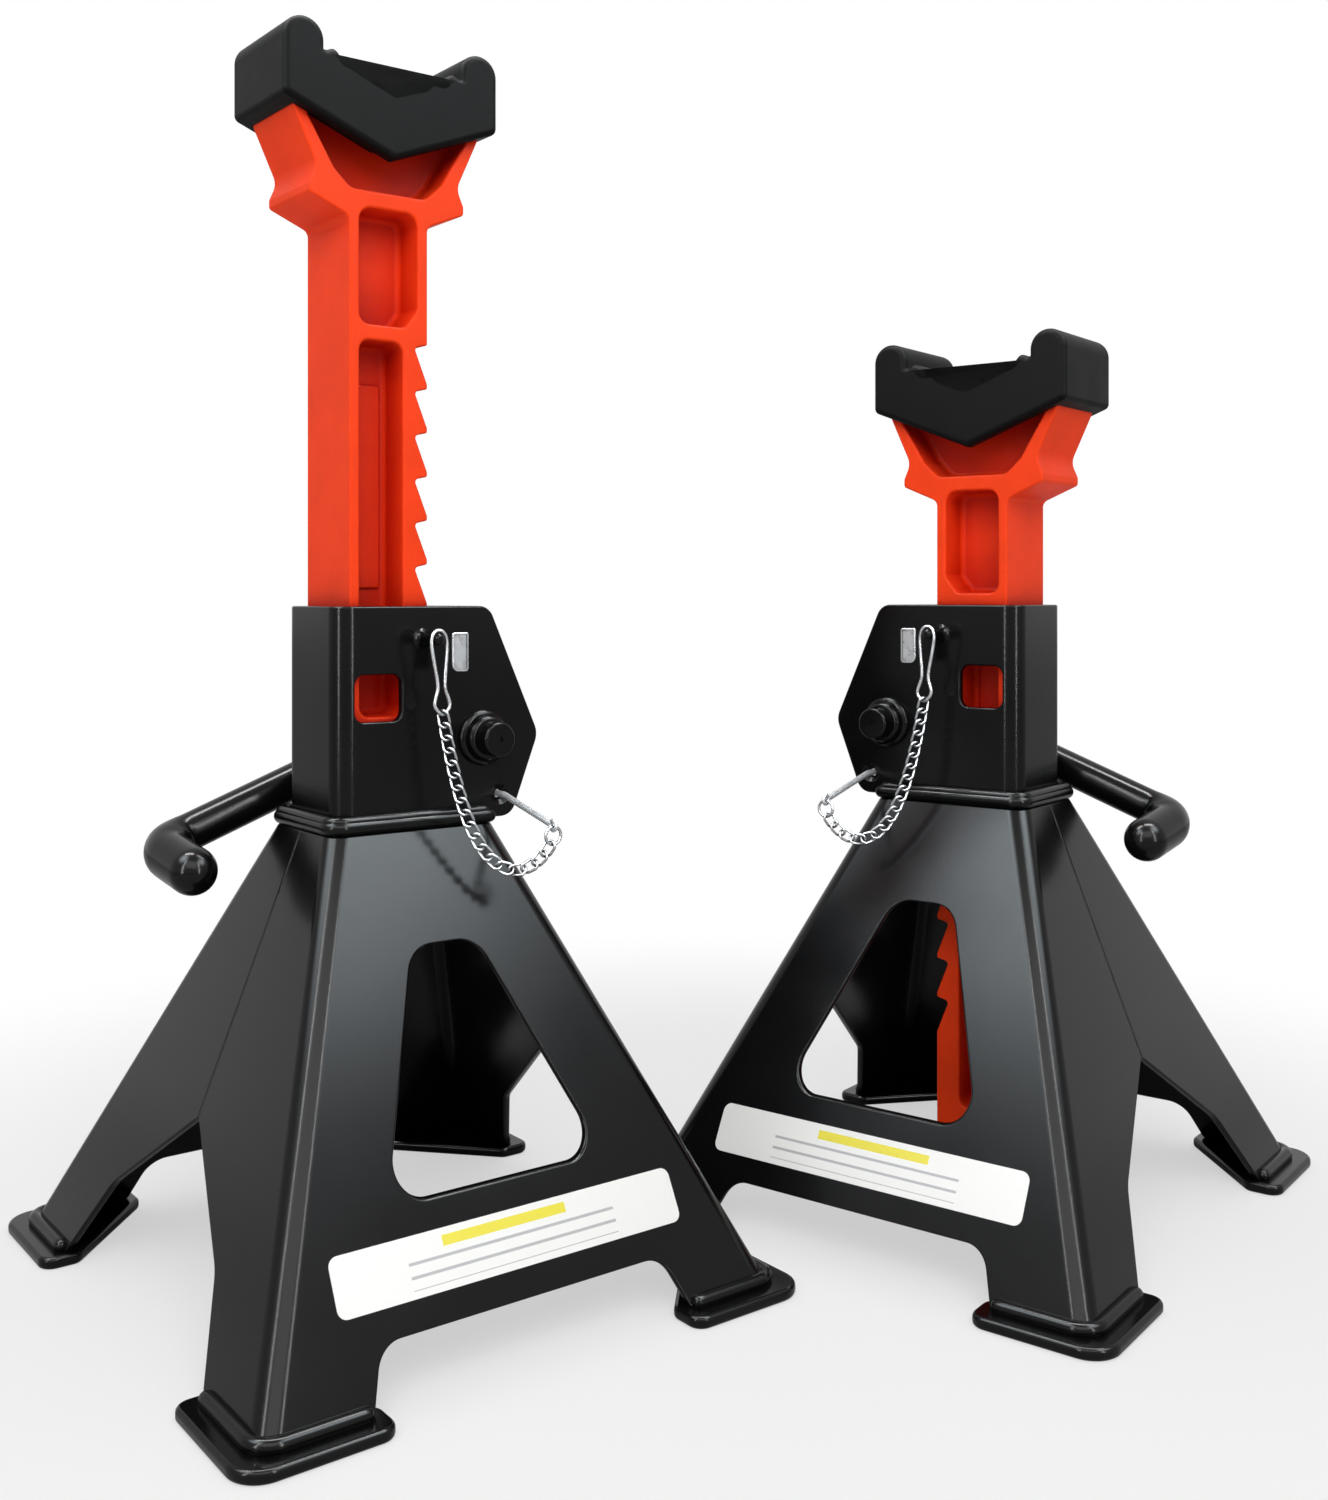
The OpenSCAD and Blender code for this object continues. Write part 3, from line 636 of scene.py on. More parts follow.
def half_y(z):
    """Half the pyramid's depth at a height. At its top it leaves a gap too."""
    low, high = SHELL
    top = HOUSING[1].y + GAP_Y + sizes()["sheet"]
    return -low.y - (-low.y - top) * (z - low.z) / (high.z - low.z)


def half_wall(z, inset, radius):
    """The front half of the pyramid's outline at a height, from the left seam to the right one."""
    x, y = half_x(z) - inset, half_y(z) - inset
    left = [(-x + radius - radius * math.cos(a), -y + radius - radius * math.sin(a), z)
            for a in (math.pi / 2 * k / FOLD_STEPS for k in range(FOLD_STEPS + 1))]
    right = [(-px, py, z) for px, py, _ in reversed(left)]
    return [(-x, 0, z)] + left + right + [(x, 0, z)]


def pressed_shell():
    """The front pressing, with its window, leg gap and side arches cut out."""
    s = sizes()
    z0, z1 = SHELL[0].z, SHELL[1].z
    leaning = 1.1  # a leaning sheet is this much thicker along a level line
    inset = s["sheet"] * leaning
    rings = []
    for z in (z0, z1):
        outer = half_wall(z, 0, s["fold"])
        inner = half_wall(z, inset, s["fold"] - s["sheet"])
        rings.append(outer + inner[::-1])
    far, under = 300, -5
    sill_r, top_r, gap_r, shin_r, crown_r = 12, 14, 12, 20, 4
    lean_x = (half_x(z0) - half_x(z1)) / (z1 - z0)
    across = s["web"] * math.hypot(1, lean_x)
    sill_x, top_x = half_x(s["sill"]) - across, half_x(s["window_top"]) - across
    window = rounded([(-sill_x, s["sill"], sill_r), (sill_x, s["sill"], sill_r),
                      (top_x, s["window_top"], top_r), (-top_x, s["window_top"], top_r)])
    gap_x, bar_x = half_x(under) - s["leg_w"], half_x(s["crossbar"]) - s["leg_w"]
    leg_gap = rounded([(-gap_x, under, 0), (-bar_x, s["crossbar"], gap_r),
                       (bar_x, s["crossbar"], gap_r), (gap_x, under, 0)])
    foot_y = half_y(under) - s["leg_d"]
    shin_y = foot_y * 0.66
    arch = rounded([(-foot_y, under, 0), (-shin_y, s["arch"] / 2, shin_r), (0, s["arch"], crown_r),
                    (shin_y, s["arch"] / 2, shin_r), (foot_y, under, 0)])
    shell = cut(loft(rings), [prism(window, "Y", -far, -1), prism(leg_gap, "Y", -far, -1),
                              prism(arch, "X", -far, far)])
    return softened(shell, s["sheet_edge"], degrees=SHEET_ANGLE)


class MakeBase(bpy.types.Operator):
    """Makes the two pressed halves of each pyramid"""
    bl_idname = "jackstand.make_base"
    bl_label = "Base pressings"

    def execute(self, context):
        front = pressed_shell()
        add_piece("front_pressing", front, "frame", ["front_shell"], "enamel")
        add_piece("rear_pressing", mirrored(front), "frame", ["rear_shell"], "enamel")
        return {"FINISHED"}


class MakeFeet(bpy.types.Operator):
    """Makes the foot plates and the beads that join them to the legs"""
    bl_idname = "jackstand.make_feet"
    bl_label = "Feet"

    def execute(self, context):
        s = sizes()
        x, y, top = FEET[1].x, FEET[1].y, FEET[1].z
        tip = x - SHELL[1].x + 6
        heel_r, toe_r, inner_r = 14, 7, 6
        tail_x = SHELL[1].x - s["leg_w"] - s["foot_tail"]
        tail_y = -SHELL[0].y - s["leg_d"] - s["foot_tail"]
        outline = rounded([(-x, -y, heel_r), (-tail_x, -y, toe_r), (-tail_x, -y + tip, inner_r),
                           (-x + tip, -tail_y, inner_r), (-x, -tail_y, toe_r)])
        plate = softened(prism(outline, "Z", 0, top), 2.0, 4)
        bead_r = s["bead"]
        proud, short = 0.6, 1
        level = top + bead_r * 0.45
        leg_x, leg_y = half_x(level) + proud, half_y(level) + proud
        path = along([(-leg_x + s["leg_w"] - short, -leg_y, level), (-leg_x, -leg_y, level),
                      (-leg_x, -leg_y + s["leg_d"] - short, level)], s["fold"])
        route, radius = domed(path, bead_r)
        bead = tube(route, radius, 16)
        corner = joined([plate, bead])
        four = []
        for sx in (1, -1):
            for sy in (1, -1):
                one = corner.copy()
                one.transform(Matrix.Diagonal((sx, sy, 1, 1)))
                if sx * sy < 0:
                    one.flip_normals()
                four.append(one)
        add_piece("feet", joined(four), "frame", ["foot_plates"], "enamel")
        return {"FINISHED"}


class MakeCollar(bpy.types.Operator):
    """Makes the two weld beads round the foot of each housing"""
    bl_idname = "jackstand.make_collar"
    bl_label = "Weld beads"

    def execute(self, context):
        low, high = local_box("left_collar")
        beads = []
        turn_r = 6.5
        for radius, inset, rise in ((3.3, 0, 3.1), (2.6, 1.0, 5.5)):
            x0, x1 = low.x + inset + radius, high.x - 2 - inset * 3
            y = high.y - inset - radius
            z = low.z + rise
            path = along([(x1, -y, z), (x0, -y, z), (x0, y, z), (x1, y, z)], turn_r)
            route, size = domed(path, radius)
            beads.append(tube(route, size, 16))
        add_piece("weld_beads", joined(beads), "frame", ["collar"], "enamel")
        return {"FINISHED"}


# ---- Housing ----

HOUSING_PLATE = 4.0


class MakeHousing(bpy.types.Operator):
    """Makes the folded housing, with its inspection window and holes"""
    bl_idname = "jackstand.make_housing"
    bl_label = "Housing"

    def execute(self, context):
        s = sizes()
        low, high = HOUSING
        plate = HOUSING_PLATE
        fold = s["fold"]
        base_top = SHELL[1].z
        spare, past, far, behind = 9, 20, 60, 80
        end = high.x + spare
        outer = rounded([(low.x, low.y, fold), (end, low.y, 0), (end, high.y, 0), (low.x, high.y, fold)])
        inner = rounded([(low.x + plate, low.y + plate, fold - plate), (high.x + past, low.y + plate, 0),
                         (high.x + past, high.y - plate, 0), (low.x + plate, high.y - plate, fold - plate)])
        clear_of_base = base_top + 1.5
        cheek = rounded([(low.x - spare, low.z, 0), (-low.x, low.z, 6), (-low.x, clear_of_base, 0),
                         (SHAFT.x + 16, clear_of_base, 8), (high.x + 0.7, SHAFT.z + 0.6, 10),
                         (SHAFT.x + 3.8, high.z, 8), (low.x - spare, high.z, 0)])
        peep_w, peep_h, peep_r = 23.0, 21.0, 4.5
        left = BAR_X - 19.3
        foot = base_top + 48.6
        peep = rounded([(left, foot, peep_r), (left + peep_w, foot, peep_r),
                        (left + peep_w, foot + peep_h, peep_r), (left, foot + peep_h, peep_r)])
        body = cut(prism(outer, "Z", low.z - 5, high.z + 5), [prism(cheek, "Y", -far, far)], "INTERSECT")
        shaft_hole_r, pin_play = 8.4, 0.25
        pin_r = (PIN[1].x - PIN[0].x) / 2
        pin_x = (PIN[0].x + PIN[1].x) / 2
        dimple = [(-behind, pin_r + pin_play), (-low.y - 2.6, pin_r + pin_play), (-low.y - 2, 2.6),
                  (-low.y - 0.5, 4.6), (-low.y + 1, 6.6)]
        holes = [lathe([(-behind, shaft_hole_r), (behind, shaft_hole_r)], (SHAFT.x, 0, SHAFT.z)),
                 lathe(dimple, (pin_x, 0, PIN[1].z - pin_r), 32)]
        hollow = prism(inner, "Z", low.z - past, high.z + past)
        body = cut(body, [hollow, prism(peep, "Y", -far, -20), *holes])
        body = softened(body, 0.9, degrees=SHEET_ANGLE)
        add_piece("housing_channel", body, "frame", ["housing"], "enamel")
        return {"FINISHED"}


class MakeBosses(bpy.types.Operator):
    """Makes the stepped bosses round the pawl shaft"""
    bl_idname = "jackstand.make_bosses"
    bl_label = "Pivot bosses"

    def execute(self, context):
        low, high = local_box("left_pivot_bushes")
        front, back = HOUSING[0].y, HOUSING[1].y
        flange, ring, bore = 13, 10.5, 8.06
        steps = []
        for face, out, depth in ((front, 1, front - low.y), (back, -1, high.y - back)):
            profile = [(0, bore), (0, flange), (1.2, flange), (2.1, flange - 0.4), (2.7, flange - 1.0),
                       (3, flange - 1.9), (2.7, ring + 0.9), (2.9, ring + 0.3), (3.5, ring),
                       (depth - 1.9, ring), (depth - 0.9, ring - 0.4), (depth - 0.2, ring - 1.1),
                       (depth, ring - 1.9), (depth, bore)]
            boss = lathe(profile, (SHAFT.x, 0, SHAFT.z))
            boss.transform(Matrix.Diagonal((1, out, 1, 1)))
            if out < 0:
                boss.flip_normals()
            boss.transform(Matrix.Translation((0, face, 0)))
            steps.append(boss)
        add_piece("pivot_bosses", joined(steps), "frame", ["pivot_bushes"], "enamel")
        return {"FINISHED"}


# ---- Ratchet bar and pad. Their heights are measured from the bar's foot ----

BAR_GAP = 4.5  # between the bar and the housing's folded side
NOTCHES = 11
RAISED = 7  # pitches that the left bar stands above its lowest place
HALF_HEAD = (BAR[1].x - BAR[0].x) / 2
HEAD_TOP = BAR[1].z - BAR_FOOT
HEAD_SLOPE = math.tan(math.radians(21.4))


class MakeBar(bpy.types.Operator):
    """Makes the toothed bar with its pockets and Y-shaped head"""
    bl_idname = "jackstand.make_bar"
    bl_label = "Ratchet bar"

    def execute(self, context):
        s = sizes()
        head = HALF_HEAD
        half = BAR_X - HOUSING[0].x - HOUSING_PLATE - BAR_GAP
        crest = SHAFT.z + 2 * s["pitch"] - (BAR_FOOT - RAISED * s["pitch"])
        shoulder = 328.0
        side = [(half, shoulder, 4), (head - 8, shoulder + 8, 2), (head - 8, shoulder + 12, 3),
                (head - 11.5, shoulder + 20, 8), (head, shoulder + 45, 12), (head, HEAD_TOP, 1.2)]
        teeth = []
        for k in range(NOTCHES):
            z = crest - s["pitch"] * k
            teeth += [(half, z, 1.05), (half - s["tooth"], z - 1.5, 1.6), (half, z - s["pitch"] + 2.2, 1.5)]
        right = [(half, 3, 1.2)] + teeth[::-1] + side
        dip = [(0, HEAD_TOP - head * HEAD_SLOPE, 0)]
        outline = rounded([(half - 3, 0, 1.2)] + right + dip + [(-x, z, r) for x, z, r in reversed(side)]
                          + [(-half, 3, 1.2), (-half + 3, 0, 1.2)])
        left = -half + s["rib"]
        inner = half - s["tooth"] - s["rib"] - 1
        wide = half - s["rib"]
        last = crest - s["pitch"] * (NOTCHES - 1)
        long_low = last + 31.5
        upper = crest + 7
        neck = shoulder + 5
        far = HEAD_TOP + 60
        pockets = [
            [(left, upper, 5), (8, upper, 4), (wide, upper + 8.5, 4), (wide, neck, 6), (left, neck, 6)],
            [(left, long_low, 5), (inner, long_low, 5), (inner, crest, 5), (left, crest, 5)],
            [(left, 20, 5), (inner, 20, 5), (inner, long_low - 7, 5), (left, long_low - 7, 5)],
            [(-head + 28, shoulder + 12.5, 6), (head - 28, shoulder + 12.5, 6),
             (head - 20, shoulder + 20, 9), (head - 6.5, shoulder + 43, 12), (head - 6.5, far, 0),
             (-head + 6.5, far, 0), (-head + 6.5, shoulder + 43, 12), (-head + 20, shoulder + 20, 9)],
        ]
        face = BAR[1].y
        floor = s["web_thickness"] / 2
        fillet, draft, corner = 2.6, 0.5, 1.0
        tools = [pocket_tool(rounded(pocket), face, floor, s["cast_edge"], fillet, draft)
                 for pocket in pockets]
        tools += [mirrored(tool) for tool in tools]
        bar = cut(cast_block(outline, face, corner), tools)
        edge, low, high, tablet_r, raised = 3.5, crest - 111, crest - 18, 1.5, 1.6
        tablet = rounded([(left + edge, low, tablet_r), (inner - edge, low, tablet_r),
                          (inner - edge, high, tablet_r), (left + edge, high, tablet_r)])
        bar = joined([bar, cast_block(tablet, floor + raised, corner)])
        bar.transform(Matrix.Translation((BAR_X, 0, 0)))
        add_piece("cast_bar", bar, "bar", ["ratchet_bar"], "casting", raised=True)
        return {"FINISHED"}


class MakePad(bpy.types.Operator):
    """Makes the ribbed rubber saddle pad"""
    bl_idname = "jackstand.make_pad"
    bl_label = "Saddle pad"

    def execute(self, context):
        s = sizes()
        half = (PAD[1].x - PAD[0].x) / 2
        bottom = PAD[0].z - BAR_FOOT
        top = PAD[1].z - BAR_FOOT
        wing_r, wing_steps = 9.5, 20
        wing = half - wing_r
        groove = bottom + 30.5
        corner_r, keel_r = 3.2, 2.5
        low = bottom + half * HEAD_SLOPE
        underside = rounded([(-half, low, corner_r), (0, bottom, keel_r), (half, low, corner_r),
                             (half, top, 0), (-half, top, 0)])[:-2]
        right = [Vector((wing + wing_r * math.cos(a), top - wing_r + wing_r * math.sin(a)))
                 for a in (math.pi * k / wing_steps for k in range(wing_steps + 1))]
        start, end = Vector((wing - wing_r, top - wing_r - 3)), Vector((0, groove))
        ribs, share, half_rib, steps = 3, 0.9, 1.35, 60
        for k in range(steps):
            t = k / steps
            bump = (1 - math.cos(math.tau * ribs * t / share)) * half_rib if t < share else 0
            p = start.lerp(end, t)
            right.append(Vector((p.x, p.y + bump)))
        outline = underside + right + [end] + [Vector((-p.x, p.y)) for p in reversed(right)]
        under = bottom - 30
        head = HALF_HEAD
        seat = [(0, HEAD_TOP - head * HEAD_SLOPE), (head, HEAD_TOP), (head, under), (-head, under),
                (-head, HEAD_TOP)]
        face = BAR[1].y
        pad = cut(cast_block(outline, PAD[1].y, s["rubber_edge"]), [prism(seat, "Y", -face, face)])
        pad.transform(Matrix.Translation((BAR_X, 0, 0)))
        add_piece("rubber_pad", pad, "bar", ["saddle_pad"], "rubber", raised=True)
        return {"FINISHED"}


# ---- Handle ----

class MakeHandle(bpy.types.Operator):
    """Makes the bent handle, which is one piece with the pawl shaft"""
    bl_idname = "jackstand.make_handle"
    bl_label = "Handle"

    def execute(self, context):
        fall, dip = math.radians(21), math.radians(10)
        reach, grip = 135.0, 37.0
        shaft_r, rod_r, grip_r, bend, stub = 8.0, 8.75, 10.75, 15.0, 16
        leg_y = HANDLE[1].y - rod_r
        leg = Vector((-math.cos(fall), 0, -math.sin(fall)))
        down = Vector((math.sin(fall), 0, -math.cos(fall)))
        out = Vector((0, -math.cos(dip), 0)) + down * math.sin(dip)
        start = Vector((SHAFT.x, HOUSING[0].y - stub, SHAFT.z))
        turn = Vector((SHAFT.x, leg_y, SHAFT.z))
        knee = turn + leg * reach
        end = knee + out * (grip + grip_r)
        path = along([start, turn, knee, end], bend)
        total = sum((b - a).length for a, b in zip(path, path[1:]))
        crossing = (turn - start).length - bend
        grip_from = total - (grip + grip_r) - 0.7 * bend
        grip_run = 1.1 * bend
        lip, thicken = 1.2, 4

        def radius(run):
            if run < lip:
                return shaft_r - lip + math.sqrt(max(0, lip ** 2 - (lip - run) ** 2))
            if run > total - grip_r:
                left = total - run
                return max(0.3, math.sqrt(max(0, grip_r ** 2 - (grip_r - left) ** 2)))
            if run < crossing:
                return shaft_r
            t = min(1, max(0, (run - grip_from) / grip_run))
            swell = t * t * (3 - 2 * t)
            ease = min(1, (run - crossing) / thicken)
            return shaft_r + (rod_r - shaft_r) * ease + (grip_r - rod_r) * swell

        fine = [p for p in path if (p - start).length > lip and (p - end).length > grip_r]
        lip_steps, dome_steps = 4, 12
        inwards = (turn - start).normalized()
        first = [start + inwards * lip * (1 - math.cos(math.pi / 2 * k / lip_steps))
                 for k in range(lip_steps + 1)]
        dome = [end - out * grip_r * (1 - math.cos(math.pi / 2 * k / dome_steps))
                for k in range(dome_steps, -1, -1)]
        rod = tube(first + fine + dome, radius, 40)
        dimple = lathe([(-1, 1.3), (1.2, 1.6)], (SHAFT.x, start.y, SHAFT.z), 24)
        rod = cut(rod, [dimple])
        add_piece("lever_rod", rod, "lever", ["handle"], "enamel")
        return {"FINISHED"}


# ---- Pin and chain ----

RING_MIDDLE = (RING[0] + RING[1]) / 2


def wire_ring(centre, across, up, major, minor, steps, sides):
    """A wire ring that lies along two directions square to each other."""
    path = [centre + (across * math.cos(a) + up * math.sin(a)) * major
            for a in (math.tau * k / steps for k in range(steps))]
    return tube(path, minor, sides, closed=True)


class MakePin(bpy.types.Operator):
    """Makes the safety pin, with its eye, and the ring in the eye"""
    bl_idname = "jackstand.make_pin"
    bl_label = "Safety pin"

    def execute(self, context):
        low, high = PIN
        radius = (high.x - low.x) / 2
        x, z = (low.x + high.x) / 2, high.z - radius
        bend_y, bend_r = HOUSING[0].y - 3, 6
        wire = (RING[1].y - RING[0].y) / 2
        sideways, upwards = Vector((1, 0, 0)), Vector((0, 0, 1))
        ring_r = (RING[1].x - RING[0].x) / 2 - wire
        ring = wire_ring(RING_MIDDLE, sideways, upwards, ring_r, wire, 48, 12)
        eye_wire, eye_r = 0.85, 2.25
        eye = Vector((x, RING_MIDDLE.y, low.z + eye_wire + eye_r))
        slope = (eye - Vector((x, bend_y, z))).normalized()
        rod = along([(x, high.y, z), (x, bend_y, z), eye - slope * eye_r], bend_r)
        tip, chamfer = 1.6, 0.8

        def thickness(run):
            return radius - chamfer * (1 - run / tip) if run < tip else radius

        loop = wire_ring(eye, slope, slope.cross(sideways), eye_r, eye_wire, 40, 14)
        pin = cut(tube(rod, thickness), [loop], "UNION")
        add_piece("chained_pin", pin, "pin", ["safety_pin"], "pin")
        add_piece("pin_eye_ring", ring, "pin", ["pin_ring"], "zinc")
        return {"FINISHED"}


def catenary(a, b, sag, links):
    """Centres and slopes of evenly spaced links hanging from a to b, as (distance, height, slope)."""
    span = math.hypot(b.x - a.x, b.y - a.y)
    drop = a.z - b.z
    low = span / 2 + sag * math.asinh(drop / (2 * sag * math.sinh(span / 2 / sag)))
    total = sag * (math.sinh(low / sag) + math.sinh((span - low) / sag))
    out = []
    for i in range(links):
        run = (i + 0.5) * total / links
        h = sag * math.asinh(run / sag - math.sinh(low / sag)) + low
        z = a.z - sag * (math.cosh(low / sag) - math.cosh((h - low) / sag))
        out.append((h, z, math.atan(math.sinh((h - low) / sag))))
    return out, total


def curb_link(whole, width, wire, twist, steps=28):
    """One wire link about the origin, lying along X, with each end twisted by some degrees."""
    run = (whole - width) / 2
    r = (width - wire) / 2
    out = []
    for k in range(steps):
        a = math.tau * k / steps
        x = r * math.cos(a) + (run if math.cos(a) > 0 else -run)
        p = Vector((x, r * math.sin(a), 0))
        out.append(Matrix.Rotation(math.radians(twist) * p.x / (whole / 2), 3, "X") @ p)
    return tube(out, wire / 2, 10, closed=True)


class MakeChain(bpy.types.Operator):
    """Makes the wire loop on the peg, and the chain from it to the pin's ring"""
    bl_idname = "jackstand.make_chain"
    bl_label = "Chain"

    def execute(self, context):
        s = sizes()
        wire = s["link_wire"]
        a = Vector(((HOOK[0].x + HOOK[1].x) / 2 + 1, (HOOK[0].y + HOOK[1].y) / 2, HOOK[0].z + 1.6))
        b = Vector((RING_MIDDLE.x - 1.0, RING_MIDDLE.y, RING[0].z + 1.25))
        sag, play, wires_wide, twist = 12.6, 0.8, 4.9, -42
        _, total = catenary(a, b, sag, 1)
        count = math.ceil(total / s["link_pitch"])
        spots, total = catenary(a, b, sag, count)
        pitch = total / count
        link = curb_link(pitch + 2 * wire + play, wires_wide * wire, wire, twist)
        turn = math.atan2(b.y - a.y, b.x - a.x)
        meshes = []
        for h, z, slope in spots:
            one = link.copy()
            one.transform(Matrix.Translation((a.x, a.y, 0)) @ Matrix.Rotation(turn, 4, "Z")
                          @ Matrix.Translation((h, 0, z)) @ Matrix.Rotation(-slope, 4, "Y")
                          @ Matrix.Rotation(math.pi / 2, 4, "X"))
            meshes.append(one)
        chains = add_piece("curb_chain", joined(meshes), None, ["chain"], "zinc")
        for side, piece in zip(SIDES, chains):
            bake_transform(piece)
        low, high = HOOK
        x, y = (PEG[0].x + PEG[1].x) / 2, (low.y + high.y) / 2
        wire_r, inside = 0.85, 0.8
        top, foot = high.z - inside, low.z + inside
        widths = [(1, 0), (0.985, 1.9), (0.92, 3.5), (0.8, 3.9), (0.6, 3.0), (0.42, 2.0), (0.3, 1.9),
                  (0.2, 3.1), (0.12, 3.8), (0.05, 2.8), (0, 0)]
        corners = widths + [(up, -wide) for up, wide in widths[-2:0:-1]]
        loop = smooth_ring([Vector((x + (a.x - x) * (1 - up) + wide, y, foot + (top - foot) * up))
                            for up, wide in corners])
        clip = tube(loop, wire_r, 12, closed=True)
        add_piece("wire_loop", clip, "frame", ["chain_hook"], "zinc")
        return {"FINISHED"}


class MakePegAndTab(bpy.types.Operator):
    """Makes the peg that carries the chain, and the folded tab on it"""
    bl_idname = "jackstand.make_peg_and_tab"
    bl_label = "Peg and tab"

    def execute(self, context):
        low, high = PEG
        x, z = (low.x + high.x) / 2, (low.z + high.z) / 2
        r = (high.z - low.z) / 2
        face, end = -high.y, -low.y
        peg = lathe([(face, r + 2.2), (face + 0.8, r + 1.2), (face + 2.5, r + 0.2), (face + 4, r),
                     (end - 1, r), (end - 0.2, r - 0.8), (end, r - 1.2)], (x, 0, z), 32)
        add_piece("chain_stud", peg, "frame", ["chain_peg"], "enamel")
        low, high = TAB
        wide, lap, lean = 8.2, 0.4, math.radians(-24)
        fold = high.x - wide
        leaf = self.rimmed([(fold, low.z, 3.2), (high.x, low.z, 1.6), (high.x, high.z, 1.0),
                            (fold, high.z, 1.0)])
        ear = self.rimmed([(-wide, high.z, 1.2), (-wide, high.z - 3.5, 1.2), (lap, high.z - 12, 0.8),
                           (lap, high.z, 0.8)])
        ear.transform(Matrix.Translation((fold, 0, 0)) @ Matrix.Rotation(lean, 4, "Z"))
        tab = joined([leaf, ear])
        tab.transform(Matrix.Translation((0, (low.y + high.y) / 2, 0)))
        add_piece("folded_tab", tab, "frame", ["chain_tab"], "zinc")
        return {"FINISHED"}

    def rimmed(self, corners):
        """A leaf of sheet whose middle is pressed in a little, which leaves a bright rim."""
        outline = rounded(corners)
        half_thick, edge, rim, depth = 0.6, 0.35, 0.8, 0.45
        press = prism(moved_out(outline, -rim), "Y", -5, depth - half_thick)
        return cut(cast_block(outline, half_thick, edge), [press])


class MakeLabel(bpy.types.Operator):
    """Makes the plain sticker on the crossbar"""
    bl_idname = "jackstand.make_label"
    bl_label = "Sticker"

    def execute(self, context):
        s = sizes()
        wide, tall, film, corner_r = 162.0, 23.0, 0.22, 4
        z = (s["crossbar"] + s["sill"]) / 2
        lean = math.atan2(half_y(z - 5) - half_y(z + 5), 10)
        outline = rounded([(-wide / 2, -tall / 2, corner_r), (wide / 2, -tall / 2, corner_r),
                           (wide / 2, tall / 2, corner_r), (-wide / 2, tall / 2, corner_r)])
        sheet = prism(outline, "Y", -film, 0)
        layer = sheet.uv_layers.new(name="label")
        for loop in sheet.loops:
            p = sheet.vertices[loop.vertex_index].co
            layer.data[loop.index].uv = (p.x / wide + 0.5, p.z / tall + 0.5)
        sheet.transform(Matrix.Translation((0, -half_y(z), z)) @ Matrix.Rotation(-lean, 4, "X"))
        add_piece("plain_sticker", sheet, "frame", ["label"], "film")
        return {"FINISHED"}


class PaintInside(bpy.types.Operator):
    """Paints the pieces of the mechanism that keep their construction shape"""
    bl_idname = "jackstand.paint_inside"
    bl_label = "Mechanism finish"

    def execute(self, context):
        kept = {"bar_guide": "enamel", "pawl": "enamel", "pawl_washers": "zinc", "pawl_pin": "zinc"}
        for side in SIDES:
            for node, finish in kept.items():
                thing = frame["nodes"][side + "_" + node]
                thing.data.materials.clear()
                thing.data.materials.append(material(finish))
        return {"FINISHED"}


# ---- Stage ----

def flat_square(name, half):
    """A flat square object that faces up, with half its side given."""
    grid = bmesh.new()
    bmesh.ops.create_grid(grid, x_segments=1, y_segments=1, size=half)
    made = bpy.data.objects.new(name, as_mesh(grid))
    bpy.context.scene.collection.objects.link(made)
    return made


